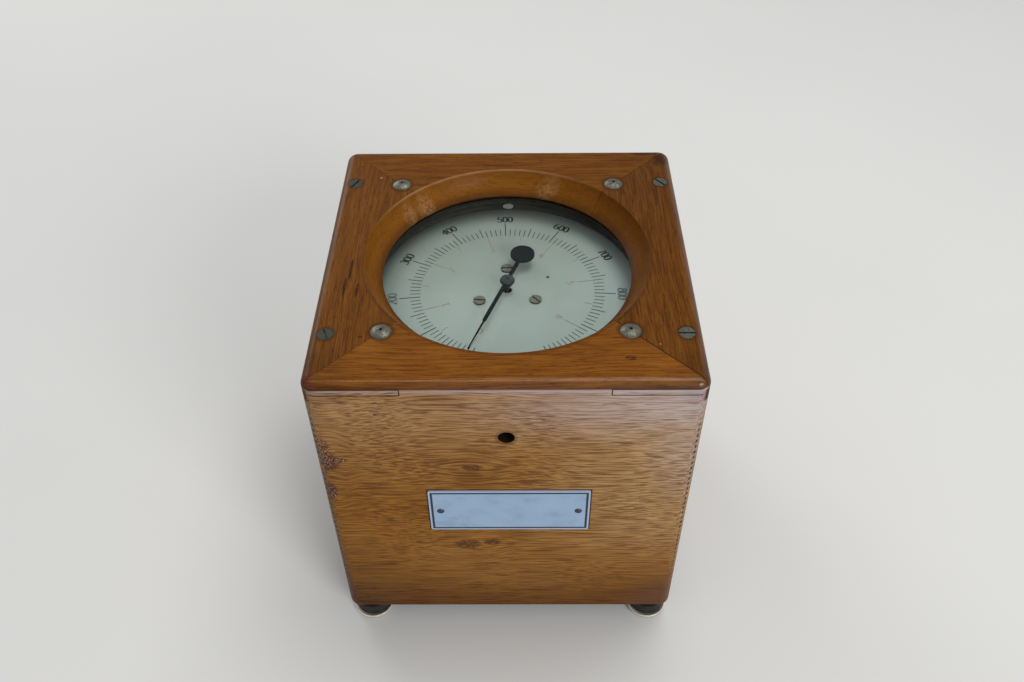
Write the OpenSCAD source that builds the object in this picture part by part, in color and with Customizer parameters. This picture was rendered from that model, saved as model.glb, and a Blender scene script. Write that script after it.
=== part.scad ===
// Bench wattmeter in an oak case: a rotating-disc movement under a round dial.
// The front faces -Y, up is +Z and the origin is the centre of the footprint.

/* [Case] */
// Width and depth of the case
case_w = 180; // [176:1:200]
// Height of the case from its lower edge to the top of the frame
case_h = 186; // [182:1:210]
// Thickness of the four oak walls
wall_t = 12; // [12:0.5:14]
// Thickness of the mitred top frame
frame_t = 12.2; // [12:0.1:13]
// Thickness of the bottom board
bottom_t = 10; // [8:0.5:12]
// Width of the rebate that holds the bottom board
bottom_rebate = 6; // [5:0.5:7]
// Rounding of the upright edges
upright_r = 6; // [6:0.5:8]
// Rounding of the top edges
top_r = 4.5; // [3:0.5:5.5]
// Rounding of the bottom edges
bottom_r = 5; // [2:0.5:5.5]
// Distance from one corner finger to the next
finger_pitch = 4; // [4:1:8]
// Thickness of the front board left in front of the fingers
finger_lap = 2.5; // [2:0.5:4]
// Length of each corner slip along the side of the frame
slip_leg = 43.5; // [43:0.5:44]
// Thickness of each corner slip
slip_t = 3.6; // [3:0.1:4]
// Depth of the corner slips below the top
slip_down = 3.6; // [3.5:0.1:5]

/* [Window] */
// Radius of the window opening
window_r = 62.7; // [60:0.1:63]
// Radius of the bevel at the top of the frame
bevel_r = 71; // [70:0.5:73]
// Depth of the bevel
bevel_h = 11.4; // [10:0.1:11.6]
// How far the bevel is hollowed
bevel_hollow = 1.2; // [0.4:0.1:1.6]
// Thickness of the glass
glass_t = 2.5; // [2:0.1:2.5]

/* [Dial] */
// Depth of the dial below the top of the frame
dial_down = 25.5; // [25:0.5:26]
// Radius of the dial plate
dial_r = 70; // [70:0.1:71]
// Radius of the circle of the three dial screws
dial_screw_pcr = 16.5; // [16.5:0.1:18]
// Turn of the three dial screws away from a straight line to the back
dial_screw_turn = 1.2; // [0:0.1:3]
// Radius of the heads of the dial screws
dial_head_r = 3.1; // [3:0.1:3.6]
// Height of the pointer above the dial
pointer_rise = 6.5; // [6:0.1:7]
// Length of the pointer from its axis
pointer_tip = 52.6; // [50:0.1:56]
// Angle of the pointer at rest, clockwise from the back
pointer_rest = -159.5; // [-162:0.5:-155]
// Distance of the counterweight from the axis
weight_at = 22.5; // [20:0.1:26]
// Radius of the counterweight
weight_r = 6.35; // [5:0.05:7]

/* [Movement] */
// Thickness of the movement plate
plate_t = 3; // [2.5:0.5:3]
// Distance of the movement plate below the dial
plate_down = 15.5; // [15:0.5:16]
// Radius of the induction disc
disc_r = 45; // [40:1:46]
// Thickness of the induction disc
disc_t = 1; // [0.8:0.1:1.2]
// Radius of the spindle
spindle_r = 1.2; // [1:0.1:1.4]
// Turns of the control spring
spring_turns = 6; // [4:1:8]

/* [Fittings] */
// Height of the feet
foot_h = 10; // [8:0.5:14]
// Radius of the feet
foot_r = 11.3; // [10:0.1:12]
// Distance of each foot from the middle of the case, sideways
foot_x = 78.4; // [70:0.1:78.5]
// Distance of each foot from the middle of the case, front to back
foot_y = 79.9; // [70:0.1:80]
// Width of the nameplate
label_w = 79.5; // [72:0.5:100]
// Height of the nameplate
label_h = 31.6; // [20:0.1:40]
// Distance of the middle of the nameplate below the top
label_down = 91.6; // [80:0.1:120]
// Radius of the adjusting hole in the front
access_r = 4; // [3:0.1:5]
// Distance of the adjusting hole below the top
access_down = 36; // [35:0.1:38]
// Distance between the sockets at the back
socket_pitch = 25; // [19:1:27]
// Bore radius of the sockets
socket_r = 2; // [1.5:0.1:2.5]
// Height of the socket row above the surface that the feet stand on
socket_z = 55; // [45:1:70]

/* [Hidden] */
$fn = 64;

oak = [0.62, 0.38, 0.16];
dark_oak = [0.48, 0.24, 0.11];
steel = [0.62, 0.62, 0.60];
brass = [0.78, 0.62, 0.30];
copper = [0.66, 0.34, 0.20];
black = [0.05, 0.05, 0.05];

eps = 1;
fit = 0.05;
joint_gap = 0.05;
half_w = case_w/2;
inner_w = half_w - wall_t;
base_z = foot_h;
top_z = base_z + case_h;
seam_z = top_z - frame_t;
bottom_z = base_z + bottom_t;
rebate_w = half_w - bottom_rebate;
finger_end = half_w - finger_lap;
finger_count = floor((seam_z - base_z)/finger_pitch);
slip_z = top_z - slip_down - slip_t;

screw_x = 82.3;
screw_y = 58.4;
screw_head_r = 3.75;
screw_shank_r = 2;
screw_head_h = 2.6;
screw_length = 35;
frame_slots = [112, 0, 60, -50];
frame_screw_at = [[-1, -1], [1, -1], [-1, 1], [1, 1]];
slot_w = 0.9;

bolt_x = 57;
bolt_y = 57;
bolt_head_r = 4.9;
bolt_head_h = 1.6;
bolt_hole_r = 0.6;
bolt_shank_r = 2;
bolt_length = 29;

glass_z = seam_z - glass_t;
glass_r = window_r + 3.8;
ring_t = 1.6;
ring_z = glass_z - ring_t;
ring_r = 75;
ring_inner = window_r + 1.3;
ring_screw_pcr = 72.5;
ring_screw_count = 8;
ring_screw_r = 1;
ring_head_r = 1.9;
ring_head_h = 1.2;
ring_gap = 0.3;
ring_bite = 3.5;

dial_t = 1;
dial_top = top_z - dial_down;
dial_bottom = dial_top - dial_t;
dial_hole_r = 2.4;
dial_dot = [21, 10.1];
dial_dot_r = 0.9;
dial_head_h = 1;
dial_screw_r = 1.4;
dial_screw_length = 9;
post_floor = 2;
dial_screw_angles = [for (i = [0 : 2]) 90 + dial_screw_turn + 120*i];
dial_slots = [5, -4, -48];
shroud_inner = 68.5;
shroud_outer = 70;
button_z = top_z - 22.9;
button_w = 5.8;
button_h = 3.2;
oval_sides = 36;
button_t = 0.5;

plate_top = dial_top - plate_down;
plate_z = plate_top - plate_t;
plate_half = 66;
plate_round = 6;
plate_hole_r = 3;
plate_head_r = 3.4;
plate_head_h = 2;
pillar_bite = 10;
pillar_r = 4;

bar_z = plate_top + 7;
bar_t = 3;
bar_half = 30;
bar_y = 4;
bar_foot_x = 26;
bar_foot_r = 3.5;
bar_screw_r = 1.3;
bar_head_r = 2.6;
small_head_h = 1.6;
bush_r = 3;
bush_flange_r = 4.3;
bush_flange_t = 0.6;
bush_collar_t = 1;
bridge_x = 50;
bridge_t = 3;
bridge_y = 6;
bridge_foot_x = 57.5;
bridge_foot = 12;
bridge_screw_r = 1.5;
bridge_head_r = 2.8;
bridge_drop = 62;
bridge_z = plate_z - bridge_drop - bridge_t;
jewel_below = 4;
jewel_gap = 0.3;
lock_nut_r = 5.8;
lock_nut_t = 2.5;

disc_z = plate_z - 39;
spindle_z = disc_z - 17;
pivot_r = 0.5;
pivot_fit = 0.06;
pivot_length = 2;
spindle_fit = 0.06;
spindle_top = dial_top + pointer_rise + 0.6;

core_half = 8;
core_gap = 2;
core_back = -66;
core_leg = 10;
pole_front = -22;
pole_back = -34;
yoke_h = 10;
foot_yoke_h = 12;
tongue_t = 7;
foot_yoke_z = disc_z - 43;
leg_inner = 12;
leg_outer = 22;
coil_wall = 6;
coil_clear = 2;
current_coil_h = 17;
core_hole_depth = 9;
core_bite = 8.5;
core_head_r = 3.2;
core_bolt_head_h = 2.2;
core_bolt_short = 0.5;

magnet_half = 12;
magnet_front = 20;
magnet_back = 62;
magnet_slot_y = 50;
magnet_limb = 12;
magnet_gap = 3;
block_front = 44;
block_middle = (block_front + magnet_back)/2;
magnet_bolt_x = 7;
magnet_bevel = 5;

stop_at = 7.5;
stop_r = 1.5;
stop_arm_r = 8.5;
stop_arm_w = 1.6;
stop_z = plate_top + 0.4;
stop_t = 1.2;
stop_boss_r = 2.9;
peg_h = 2;
collet_r = 2.8;
collet_h = 2.6;
stop_start = 30;
stop_spread = asin((stop_r + stop_arm_w/2)/stop_at);
stop_margin = 3.15;

spring_z = plate_top + 2.4;
spring_h = 1;
spring_w = 0.25;
spring_in = 3.05;
spring_out = 10.7;
spring_steps = 24;
lever_z = plate_top + 5.2;
lever_t = 1.6;
lever_w = 4;
lever_end = 67;
lever_ring_r = 6;
lever_notch = 1.2;
lever_notch_up = 0.6;
lever_stud_r = 0.7;
lever_stud_at = 11.6;

pointer_z = dial_top + pointer_rise - 0.3;
pointer_t = 0.6;
blade_w = 1.9;
blade_end = 31.4;
needle_w = 0.8;
tip_w = 0.45;
tail_w = 2.1;
hub_r = 3.8;
weight_side = 0.4;
needle_start = blade_end + 1.5;
hub_neck_r = 2;
hub_boss_r = 2.6;
hub_boss_h = 2.2;
hub_cap_h = 0.8;
hub_bevel = 0.4;
disc_hub_r = 3;
disc_flange_r = 5.5;
disc_flange_h = 1.5;
disc_hub_low = 4;
disc_hub_high = 6;

cup_h = 2.6;
cup_rim = 1;
cup_floor = 1.2;
cup_hole_r = 5;
cup_round = 2.4;
buffer_r = foot_r - 1.7;
buffer_low_r = buffer_r - 1.5;
foot_screw_z = 4.4;
foot_head_r = 4.2;
foot_head_h = 2;
foot_head_room = 0.4;
foot_screw_length = base_z - foot_screw_z + bottom_t - 1;
bottom_screw_x = 35;
bottom_screw_in = 3.2;
bottom_head_r = 2.6;
bottom_head_h = 2;
bottom_shank_r = 1.3;
bottom_screw_length = 24;
bottom_screw_sink = 0.3;
bottom_slot = 30;

label_t = 0.8;
label_round = 0.8;
pin_head_r = 1.9;
pin_head_h = 0.9;
pin_shank_r = 0.8;
pin_length = 8;
pin_overlap = 0.2;
label_x = 0.9;
label_pin_x = 34.2;
label_z = top_z - label_down;
access_z = top_z - access_down;

terminal_w = 110;
terminal_h = 34;
terminal_t = 5;
terminal_proud = label_t;
flange_h = pin_head_h;
flange_r = 6;
barrel_r = 3.5;
barrel_length = 23;
barrel_hole_r = 5.5;
socket_depth = 20;
nut_r = 6.4;
nut_t = 3;
terminal_round = 1.5;
terminal_screw_x = 49;
terminal_screw_z = terminal_h*0.3;
terminal_head_r = 2.3;
terminal_shank_r = 1.2;
terminal_hole_depth = 10;
terminal_bite = 4;
wire_r = 1.1;
wire_low = 5;
wire_outer_y = 60;
wire_inner_y = 54;
wire_back = 8;
wire_current_up = 22;
wire_voltage_up = 15;

// Square with rounded corners, centred
module rounded_square(w, h, r) {
  square([w - 2*r, h], center = true);
  square([w, h - 2*r], center = true);
  for (x = [-1, 1], y = [-1, 1])
    translate([x*(w/2 - r), y*(h/2 - r)])
      circle(r);
}

// Prism along X from an outline whose first axis is Y and second is Z
module along_x(length) {
  rotate([90, 0, 90])
    linear_extrude(height = length, center = true)
      children();
}

// Prism along Y from an outline whose first axis is X and second is Z
module along_y(length) {
  rotate([90, 0, 0])
    linear_extrude(height = length, center = true)
      children();
}

// Half section of a layer: a straight part that ends in a quarter circle
module eased_section(straight, r) {
  square([straight, r]);
  intersection() {
    translate([straight, 0])
      circle(r);
    square([straight + r, r]);
  }
}

// Layer as wide as the case, its upper edge rounded over all round and at the corners
module eased_layer(r) {
  inset = half_w - upright_r;
  quarters(inset, inset)
    rotate_extrude()
      eased_section(upright_r - r, r);
  for (a = [0, 90])
    rotate([0, 0, a])
      along_x(2*inset)
        for (side = [0, 1])
          mirror([side, 0])
            eased_section(half_w - r, r);
}

// Everything inside the rounded outside of the case
module case_envelope() {
  translate([0, 0, top_z - top_r])
    eased_layer(top_r);
  translate([0, 0, base_z + bottom_r])
    linear_extrude(height = case_h - top_r - bottom_r)
      rounded_square(case_w, case_w, upright_r);
  translate([0, 0, base_z + bottom_r])
    mirror([0, 0, 1])
      eased_layer(bottom_r);
}

// Box from its lowest and highest corners
module span(low, high) {
  translate(low)
    cube(high - low);
}

// Copies in the four quarters, at plus and minus x and y
module quarters(x, y) {
  for (sx = [-1, 1], sy = [-1, 1])
    translate([sx*x, sy*y, 0])
      children();
}

// Countersunk wood screw with a slotted head, its head's face at the origin, pointing down
module countersunk_screw(head_r, head_h, shank_r, length, slot_angle) {
  difference() {
    union() {
      translate([0, 0, -head_h])
        cylinder(h = head_h, r1 = shank_r, r2 = head_r);
      translate([0, 0, -length + shank_r])
        cylinder(h = length - shank_r - head_h, r = shank_r);
      translate([0, 0, -length])
        cylinder(h = shank_r, r1 = shank_r/4, r2 = shank_r);
    }
    rotate([0, 0, slot_angle])
      translate([-head_r - eps, -slot_w/2, -head_h/3])
        cube([2*head_r + 2*eps, slot_w, head_h]);
  }
}

// Room for a countersunk screw
module countersunk_room(head_r, head_h, shank_r, length) {
  translate([0, 0, -head_h])
    cylinder(h = head_h + fit, r1 = shank_r + fit, r2 = head_r + 2*fit);
  translate([0, 0, -length - fit])
    cylinder(h = length, r = shank_r + fit);
  cylinder(h = eps, r = head_r + 2*fit);
}

// Cheese-head screw, the underside of its head at the origin, pointing down
module cheese_screw(head_r, head_h, shank_r, length) {
  difference() {
    union() {
      cylinder(h = head_h, r = head_r);
      translate([0, 0, -length])
        cylinder(h = length, r = shank_r);
    }
    translate([-head_r - eps, -slot_w/2, head_h*0.45])
      cube([2*head_r + 2*eps, slot_w, head_h]);
  }
}

// Low dome that stands on the origin
module dome(r, h) {
  ball = (r*r + h*h)/(2*h);
  intersection() {
    translate([0, 0, h - ball])
      sphere(ball);
    cylinder(h = h + eps, r = r + eps);
  }
}

// Side wall outline with its fingers, Y across and Z up
function finger_z(i) = base_z + (i + 0.25)*finger_pitch;
function finger_edge(y0, y1) = [
  for (i = [0 : finger_count - 1], k = [0 : 3])
    [k == 0 || k == 3 ? y0 : y1, finger_z(i) + (k < 2 ? 0 : finger_pitch/2)]
];
function flipped(points) = [
  for (i = [len(points) - 1 : -1 : 0]) [-points[i][0], points[i][1]]
];

// Rooms in the front or back board for the fingers of the side walls
module finger_rooms() {
  room = finger_edge(inner_w - fit, finger_end);
  for (x = [-1, 1])
    translate([x*(half_w - wall_t/2 + eps/2), 0, 0])
      along_x(wall_t + eps)
        polygon(concat([[inner_w - eps, base_z - eps]], [[inner_w - fit, base_z - eps]], room,
                       [[inner_w - fit, seam_z + eps]], [[inner_w - eps, seam_z + eps]]));
}

module bottom_room() {
  span([-rebate_w, -rebate_w, base_z - eps], [rebate_w, rebate_w, bottom_z]);
}

module foot_screw_rooms() {
  quarters(foot_x, foot_y)
    translate([0, 0, base_z - eps])
      cylinder(h = foot_screw_z + foot_screw_length - base_z + eps, r = screw_shank_r + fit);
}

module bottom_screw_rooms() {
  bottom_screw_places()
    countersunk_room(bottom_head_r, bottom_head_h, bottom_shank_r, bottom_screw_length);
}

// Front or back board, drawn at +Y
module end_board() {
  intersection() {
    difference() {
      span([-half_w, inner_w, base_z], [half_w, half_w, seam_z]);
      finger_rooms();
      bottom_room();
      bottom_screw_rooms();
    }
    case_envelope();
  }
}

// Side board, drawn at +X
module side_board() {
  edge = finger_edge(inner_w, finger_end);
  intersection() {
    difference() {
      translate([half_w - wall_t/2, 0, 0])
        along_x(wall_t)
          polygon(concat([[-inner_w, base_z], [inner_w, base_z]], edge,
                         [[inner_w, seam_z], [-inner_w, seam_z]], flipped(edge)));
      bottom_room();
      bottom_screw_rooms();
      for (y = [-1, 1])
        translate([screw_x, y*screw_y, top_z])
          countersunk_room(screw_head_r, screw_head_h, screw_shank_r, screw_length);
    }
    case_envelope();
  }
}

module front_wall() {
  color(oak)
    difference() {
      mirror([0, 1, 0])
        end_board();
      translate([0, -inner_w + eps, access_z])
        rotate([90, 0, 0])
          cylinder(h = wall_t + 2*eps, r = access_r);
      for (x = [-1, 1])
        translate([label_x + x*label_pin_x, -half_w + pin_length, label_z])
          rotate([90, 0, 0])
            cylinder(h = pin_length + eps, r = pin_shank_r + fit);
    }
}

module back_wall() {
  color(oak)
    difference() {
      end_board();
      span([-terminal_w/2 - fit, half_w + terminal_proud - terminal_t, socket_z - terminal_h/2 - fit],
           [terminal_w/2 + fit, half_w + eps, socket_z + terminal_h/2 + fit]);
      for (i = [-1.5 : 1 : 1.5])
        translate([i*socket_pitch, half_w + eps, socket_z])
          rotate([90, 0, 0])
            cylinder(h = wall_t + 2*eps, r = barrel_hole_r);
      for (x = [-1, 1], z = [-1, 1])
        translate([x*terminal_screw_x, half_w, socket_z + z*terminal_screw_z])
          rotate([90, 0, 0])
            cylinder(h = terminal_hole_depth, r = terminal_shank_r + fit);
    }
}

module left_wall() {
  color(oak)
    mirror([1, 0, 0])
      side_board();
}

module right_wall() {
  color(oak)
    side_board();
}

module bottom_screw_places() {
  for (a = [0, 90, 180, 270])
    rotate([0, 0, a])
      for (x = [-1, 1])
        translate([x*bottom_screw_x, rebate_w - bottom_screw_in, base_z + bottom_screw_sink])
          mirror([0, 0, 1])
            children();
}

module bottom_board() {
  color(dark_oak)
    difference() {
      span([-rebate_w + fit, -rebate_w + fit, base_z], [rebate_w - fit, rebate_w - fit, bottom_z]);
      foot_screw_rooms();
      bottom_screw_rooms();
    }
}

module bottom_screws() {
  color(steel)
    bottom_screw_places()
      countersunk_screw(bottom_head_r, bottom_head_h, bottom_shank_r, bottom_screw_length,
                        bottom_slot);
}

// Room cut through the frame for the window and the glass
module window_room() {
  chord = norm([bevel_r - window_r, bevel_h]);
  arc_r = (chord*chord/4 + bevel_hollow*bevel_hollow)/(2*bevel_hollow);
  low = [window_r, top_z - bevel_h];
  high = [bevel_r, top_z];
  across = [bevel_h, window_r - bevel_r]/chord;
  arc_middle = (low + high)/2 - across*(arc_r - bevel_hollow);
  rotate_extrude($fn = 128) {
    polygon([[0, seam_z - eps], [window_r, seam_z - eps], low, high, [bevel_r, top_z + eps],
             [0, top_z + eps]]);
    intersection() {
      translate(arc_middle)
        circle(arc_r, $fn = 128);
      polygon([low, low + across*3, high + across*3, high]);
    }
  }
}

// One rail of the mitred frame, drawn at the front
module rail() {
  wide = half_w + eps;
  intersection() {
    difference() {
      translate([0, 0, seam_z])
        linear_extrude(height = frame_t)
          polygon([[0, -2*joint_gap], [-wide, -wide - 2*joint_gap], [wide, -wide - 2*joint_gap]]);
      window_room();
      slip_prisms(fit);
      quarters(bolt_x, bolt_y)
        translate([0, 0, seam_z - eps])
          cylinder(h = frame_t + 2*eps, r = bolt_shank_r + fit);
      ring_screw_places()
        cylinder(h = seam_z - ring_z + ring_bite + 0.5, r = ring_screw_r + fit);
    }
    case_envelope();
  }
}

module slip_prisms(room) {
  for (a = [0, 90, 180, 270])
    rotate([0, 0, a])
      translate([0, 0, slip_z - room])
        linear_extrude(height = slip_t + 2*room)
          polygon([[half_w + eps, half_w + eps], [half_w - slip_leg - eps, half_w + eps],
                   [half_w + eps, half_w - slip_leg - eps]]);
}

module frame_front_rail() {
  color(dark_oak)
    rail();
}

module frame_back_rail() {
  color(dark_oak)
    rotate([0, 0, 180])
      rail();
}

// Side rail, drawn at +X, with the rooms of its two screws
module side_rail() {
  difference() {
    rotate([0, 0, 90])
      rail();
    for (y = [-1, 1])
      translate([screw_x, y*screw_y, top_z])
        countersunk_room(screw_head_r, screw_head_h, screw_shank_r, screw_length);
  }
}

module frame_left_rail() {
  color(dark_oak)
    mirror([1, 0, 0])
      side_rail();
}

module frame_right_rail() {
  color(dark_oak)
    side_rail();
}

module frame_slips() {
  color(oak)
    intersection() {
      difference() {
        slip_prisms(0);
        quarters(screw_x, screw_y)
          translate([0, 0, slip_z - eps])
            cylinder(h = slip_t + 2*eps, r = screw_shank_r + fit);
      }
      case_envelope();
    }
}

module frame_screws() {
  color(steel)
    for (i = [0 : 3])
      translate([frame_screw_at[i][0]*screw_x, frame_screw_at[i][1]*screw_y, top_z])
        countersunk_screw(screw_head_r, screw_head_h, screw_shank_r, screw_length, frame_slots[i]);
}

module pillar_bolts() {
  color(steel)
    quarters(bolt_x, bolt_y)
      difference() {
        translate([0, 0, top_z]) {
          dome(bolt_head_r, bolt_head_h);
          translate([0, 0, -bolt_length])
            cylinder(h = bolt_length + bolt_head_h/2, r = bolt_shank_r);
        }
        translate([0, 0, top_z + bolt_head_h/2])
          cylinder(h = bolt_head_h, r = bolt_hole_r);
      }
}

module window_glass() {
  color([0.8, 0.9, 0.9, 0.35])
    translate([0, 0, glass_z])
      cylinder(h = glass_t, r = glass_r, $fn = 128);
}

module ring_screw_places() {
  for (i = [0 : ring_screw_count - 1])
    rotate([0, 0, (i + 0.5)*360/ring_screw_count])
      translate([ring_screw_pcr, 0, ring_z])
        children();
}

// Stepped ring under the glass and round its edge
module glass_ring() {
  color(black)
    difference() {
      translate([0, 0, ring_z])
        cylinder(h = seam_z - ring_z, r = ring_r, $fn = 128);
      translate([0, 0, ring_z - eps])
        cylinder(h = ring_t + 2*eps, r = ring_inner, $fn = 128);
      translate([0, 0, glass_z])
        cylinder(h = glass_t + eps, r = glass_r + ring_gap, $fn = 128);
      ring_screw_places()
        translate([0, 0, -eps])
          cylinder(h = seam_z - ring_z + 2*eps, r = ring_screw_r + fit);
    }
}

module glass_ring_screws() {
  color(steel)
    ring_screw_places()
      mirror([0, 0, 1])
        cheese_screw(ring_head_r, ring_head_h, ring_screw_r, seam_z - ring_z + ring_bite);
}

module dial_shroud() {
  color(black)
    difference() {
      translate([0, 0, dial_top])
        cylinder(h = ring_z - dial_top, r = shroud_outer, $fn = 128);
      translate([0, 0, dial_top - eps])
        cylinder(h = ring_z - dial_top + 2*eps, r = shroud_inner, $fn = 128);
    }
}

// Points on an ellipse from its width and height
function oval(w, h) = [
  for (i = [0 : oval_sides - 1])
    let (a = i*360/oval_sides)
    [w/2*cos(a), h/2*sin(a)]
];

module shroud_button() {
  color([0.85, 0.83, 0.75])
    translate([0, sqrt(shroud_inner*shroud_inner - button_w*button_w/4) - button_t/2, button_z])
      along_y(button_t)
        polygon(oval(button_w, button_h));
}

module nameplate() {
  color([0.70, 0.76, 0.82])
    difference() {
      translate([label_x, -half_w - label_t/2, label_z])
        along_y(label_t)
          rounded_square(label_w, label_h, label_round);
      for (x = [-1, 1])
        translate([label_x + x*label_pin_x, -half_w + eps, label_z])
          rotate([90, 0, 0])
            cylinder(h = label_t + 2*eps, r = pin_shank_r + fit);
    }
}

module nameplate_pins() {
  color([0.25, 0.30, 0.42])
    for (x = [-1, 1])
      translate([label_x + x*label_pin_x, -half_w - label_t, label_z])
        rotate([90, 0, 0]) {
          dome(pin_head_r, pin_head_h);
          translate([0, 0, -pin_length - label_t + pin_overlap])
            cylinder(h = pin_length + label_t, r = pin_shank_r);
        }
}

// Shallow cup with a rounded rim that holds the soft buffer
module foot_cups() {
  color([0.80, 0.74, 0.60])
    quarters(foot_x, foot_y)
      rotate_extrude() {
        difference() {
          intersection() {
            cup_outline(cup_round);
            translate([cup_hole_r, 0])
              square([foot_r, cup_h - cup_rim/2]);
          }
          translate([0, cup_floor])
            square([foot_r - cup_round, cup_h]);
          cup_outline(cup_round - cup_rim);
        }
        translate([foot_r - cup_rim/2, cup_h - cup_rim/2])
          circle(cup_rim/2);
      }
}

// Half section of the bowl, round below and upright above
module cup_outline(r) {
  translate([foot_r - cup_round, cup_round]) {
    circle(r);
    square([r, cup_h]);
  }
  translate([0, cup_round - r])
    square([foot_r - cup_round, cup_h]);
}

module foot_buffers() {
  color(black)
    quarters(foot_x, foot_y)
      difference() {
        union() {
          translate([0, 0, cup_floor])
            cylinder(h = cup_h - cup_floor, r1 = buffer_low_r, r2 = buffer_r);
          translate([0, 0, cup_h])
            cylinder(h = foot_h - cup_h, r = buffer_r);
        }
        cylinder(h = foot_screw_z, r = foot_head_r + foot_head_room);
        cylinder(h = foot_h + eps, r = screw_shank_r + fit);
      }
}

module foot_screws() {
  color(steel)
    quarters(foot_x, foot_y)
      translate([0, 0, foot_screw_z])
        mirror([0, 0, 1])
          cheese_screw(foot_head_r, foot_head_h, screw_shank_r, foot_screw_length);
}

module terminal_plate() {
  color(black)
    difference() {
      translate([0, half_w + terminal_proud - terminal_t/2, socket_z])
        along_y(terminal_t)
          rounded_square(terminal_w, terminal_h, terminal_round);
      for (i = [-1.5 : 1 : 1.5])
        translate([i*socket_pitch, half_w + eps, socket_z])
          rotate([90, 0, 0])
            translate([0, 0, -eps])
              cylinder(h = wall_t, r = barrel_r + fit);
      for (x = [-1, 1], z = [-1, 1])
        translate([x*terminal_screw_x, half_w + 2*eps, socket_z + z*terminal_screw_z])
          rotate([90, 0, 0])
            cylinder(h = wall_t, r = terminal_shank_r + fit);
    }
}

module terminal_sockets() {
  face = half_w + terminal_proud + flange_h;
  color(brass)
    for (i = [-1.5 : 1 : 1.5])
      translate([i*socket_pitch, face, socket_z])
        rotate([90, 0, 0])
          difference() {
            union() {
              cylinder(h = flange_h, r = flange_r);
              cylinder(h = barrel_length, r = barrel_r);
            }
            translate([0, 0, -eps])
              cylinder(h = socket_depth + eps, r = socket_r);
          }
}

module terminal_nuts() {
  color(brass)
    for (i = [-1.5 : 1 : 1.5])
      translate([i*socket_pitch, inner_w, socket_z])
        rotate([90, 0, 0])
          difference() {
            cylinder(h = nut_t, r = nut_r, $fn = 6);
            translate([0, 0, -eps])
              cylinder(h = nut_t + 2*eps, r = barrel_r + fit);
          }
}

module terminal_screws() {
  color(steel)
    for (x = [-1, 1], z = [-1, 1])
      translate([x*terminal_screw_x, half_w + terminal_proud, socket_z + z*terminal_screw_z])
        rotate([-90, 0, 0])
          cheese_screw(terminal_head_r, flange_h, terminal_shank_r, terminal_t + terminal_bite);
}

// Round wire along a run of points
module wire(points) {
  for (i = [0 : len(points) - 2]) {
    step = points[i + 1] - points[i];
    translate(points[i])
      rotate([0, acos(step[2]/norm(step)), atan2(step[1], step[0])])
        cylinder(h = norm(step), r = wire_r, $fn = 24);
  }
  for (i = [1 : len(points) - 2])
    translate(points[i])
      sphere(wire_r, $fn = 24);
}

module lead_wires() {
  start_y = half_w + terminal_proud + flange_h - barrel_length;
  low = bottom_z + wire_low;
  side_y = (pole_front + pole_back)/2;
  coil_side = leg_outer + coil_wall;
  coil_mid = foot_yoke_z + wire_current_up;
  volt_back = pole_back - coil_wall;
  down_y = volt_back - wire_back;
  volt_mid = disc_z + wire_voltage_up;
  volt_x = core_half - 1;
  color([0.35, 0.16, 0.10])
    for (s = [-1, 1]) {
      outer_x = s*1.5*socket_pitch;
      inner_x = s*0.5*socket_pitch;
      wire([[outer_x, start_y, socket_z], [outer_x, wire_outer_y, socket_z],
            [outer_x, wire_outer_y, low], [outer_x, side_y, low],
            [outer_x, side_y, coil_mid], [s*coil_side, side_y, coil_mid]]);
      wire([[inner_x, start_y, socket_z], [inner_x, wire_inner_y, socket_z],
            [inner_x, wire_inner_y, low], [inner_x, down_y, low],
            [inner_x, down_y, volt_mid], [s*volt_x, down_y, volt_mid],
            [s*volt_x, volt_back, volt_mid]]);
    }
}

module movement_plate() {
  color([0.16, 0.16, 0.17])
    difference() {
      translate([0, 0, plate_z])
        linear_extrude(height = plate_t)
          rounded_square(2*plate_half, 2*plate_half, plate_round);
      translate([0, 0, plate_z - eps]) {
        cylinder(h = plate_t + 2*eps, r = plate_hole_r);
        quarters(bolt_x, bolt_y)
          cylinder(h = plate_t + 2*eps, r = bolt_shank_r + fit);
        for (x = [-1, 1]) {
          translate([x*bar_foot_x, 0, 0])
            cylinder(h = plate_t + 2*eps, r = bar_screw_r + fit);
          translate([x*bridge_foot_x, 0, 0])
            cylinder(h = plate_t + 2*eps, r = bridge_screw_r + fit);
          translate([x*magnet_bolt_x, block_middle, 0])
            cylinder(h = plate_t + 2*eps, r = bolt_shank_r + fit);
        }
        for (y = [core_back + core_leg/2, (pole_front + pole_back)/2])
          translate([0, y, 0])
            cylinder(h = plate_t + 2*eps, r = bolt_shank_r + fit);
      }
    }
}

module movement_pillars() {
  color(brass)
    quarters(bolt_x, bolt_y)
      difference() {
        translate([0, 0, plate_top])
          cylinder(h = seam_z - plate_top, r = pillar_r);
        translate([0, 0, plate_top - eps])
          cylinder(h = seam_z - plate_top + 2*eps, r = bolt_shank_r + fit);
      }
}

module movement_screws() {
  color(steel)
    quarters(bolt_x, bolt_y)
      translate([0, 0, plate_z])
        mirror([0, 0, 1])
          cheese_screw(plate_head_r, plate_head_h, bolt_shank_r, plate_t + pillar_bite);
}

module dial_posts() {
  color(brass)
    for (a = dial_screw_angles)
      rotate([0, 0, a])
        translate([dial_screw_pcr, 0, plate_top])
          difference() {
            cylinder(h = dial_bottom - plate_top, r = dial_head_r);
            translate([0, 0, post_floor])
              cylinder(h = dial_bottom - plate_top, r = dial_screw_r + fit);
          }
}

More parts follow.
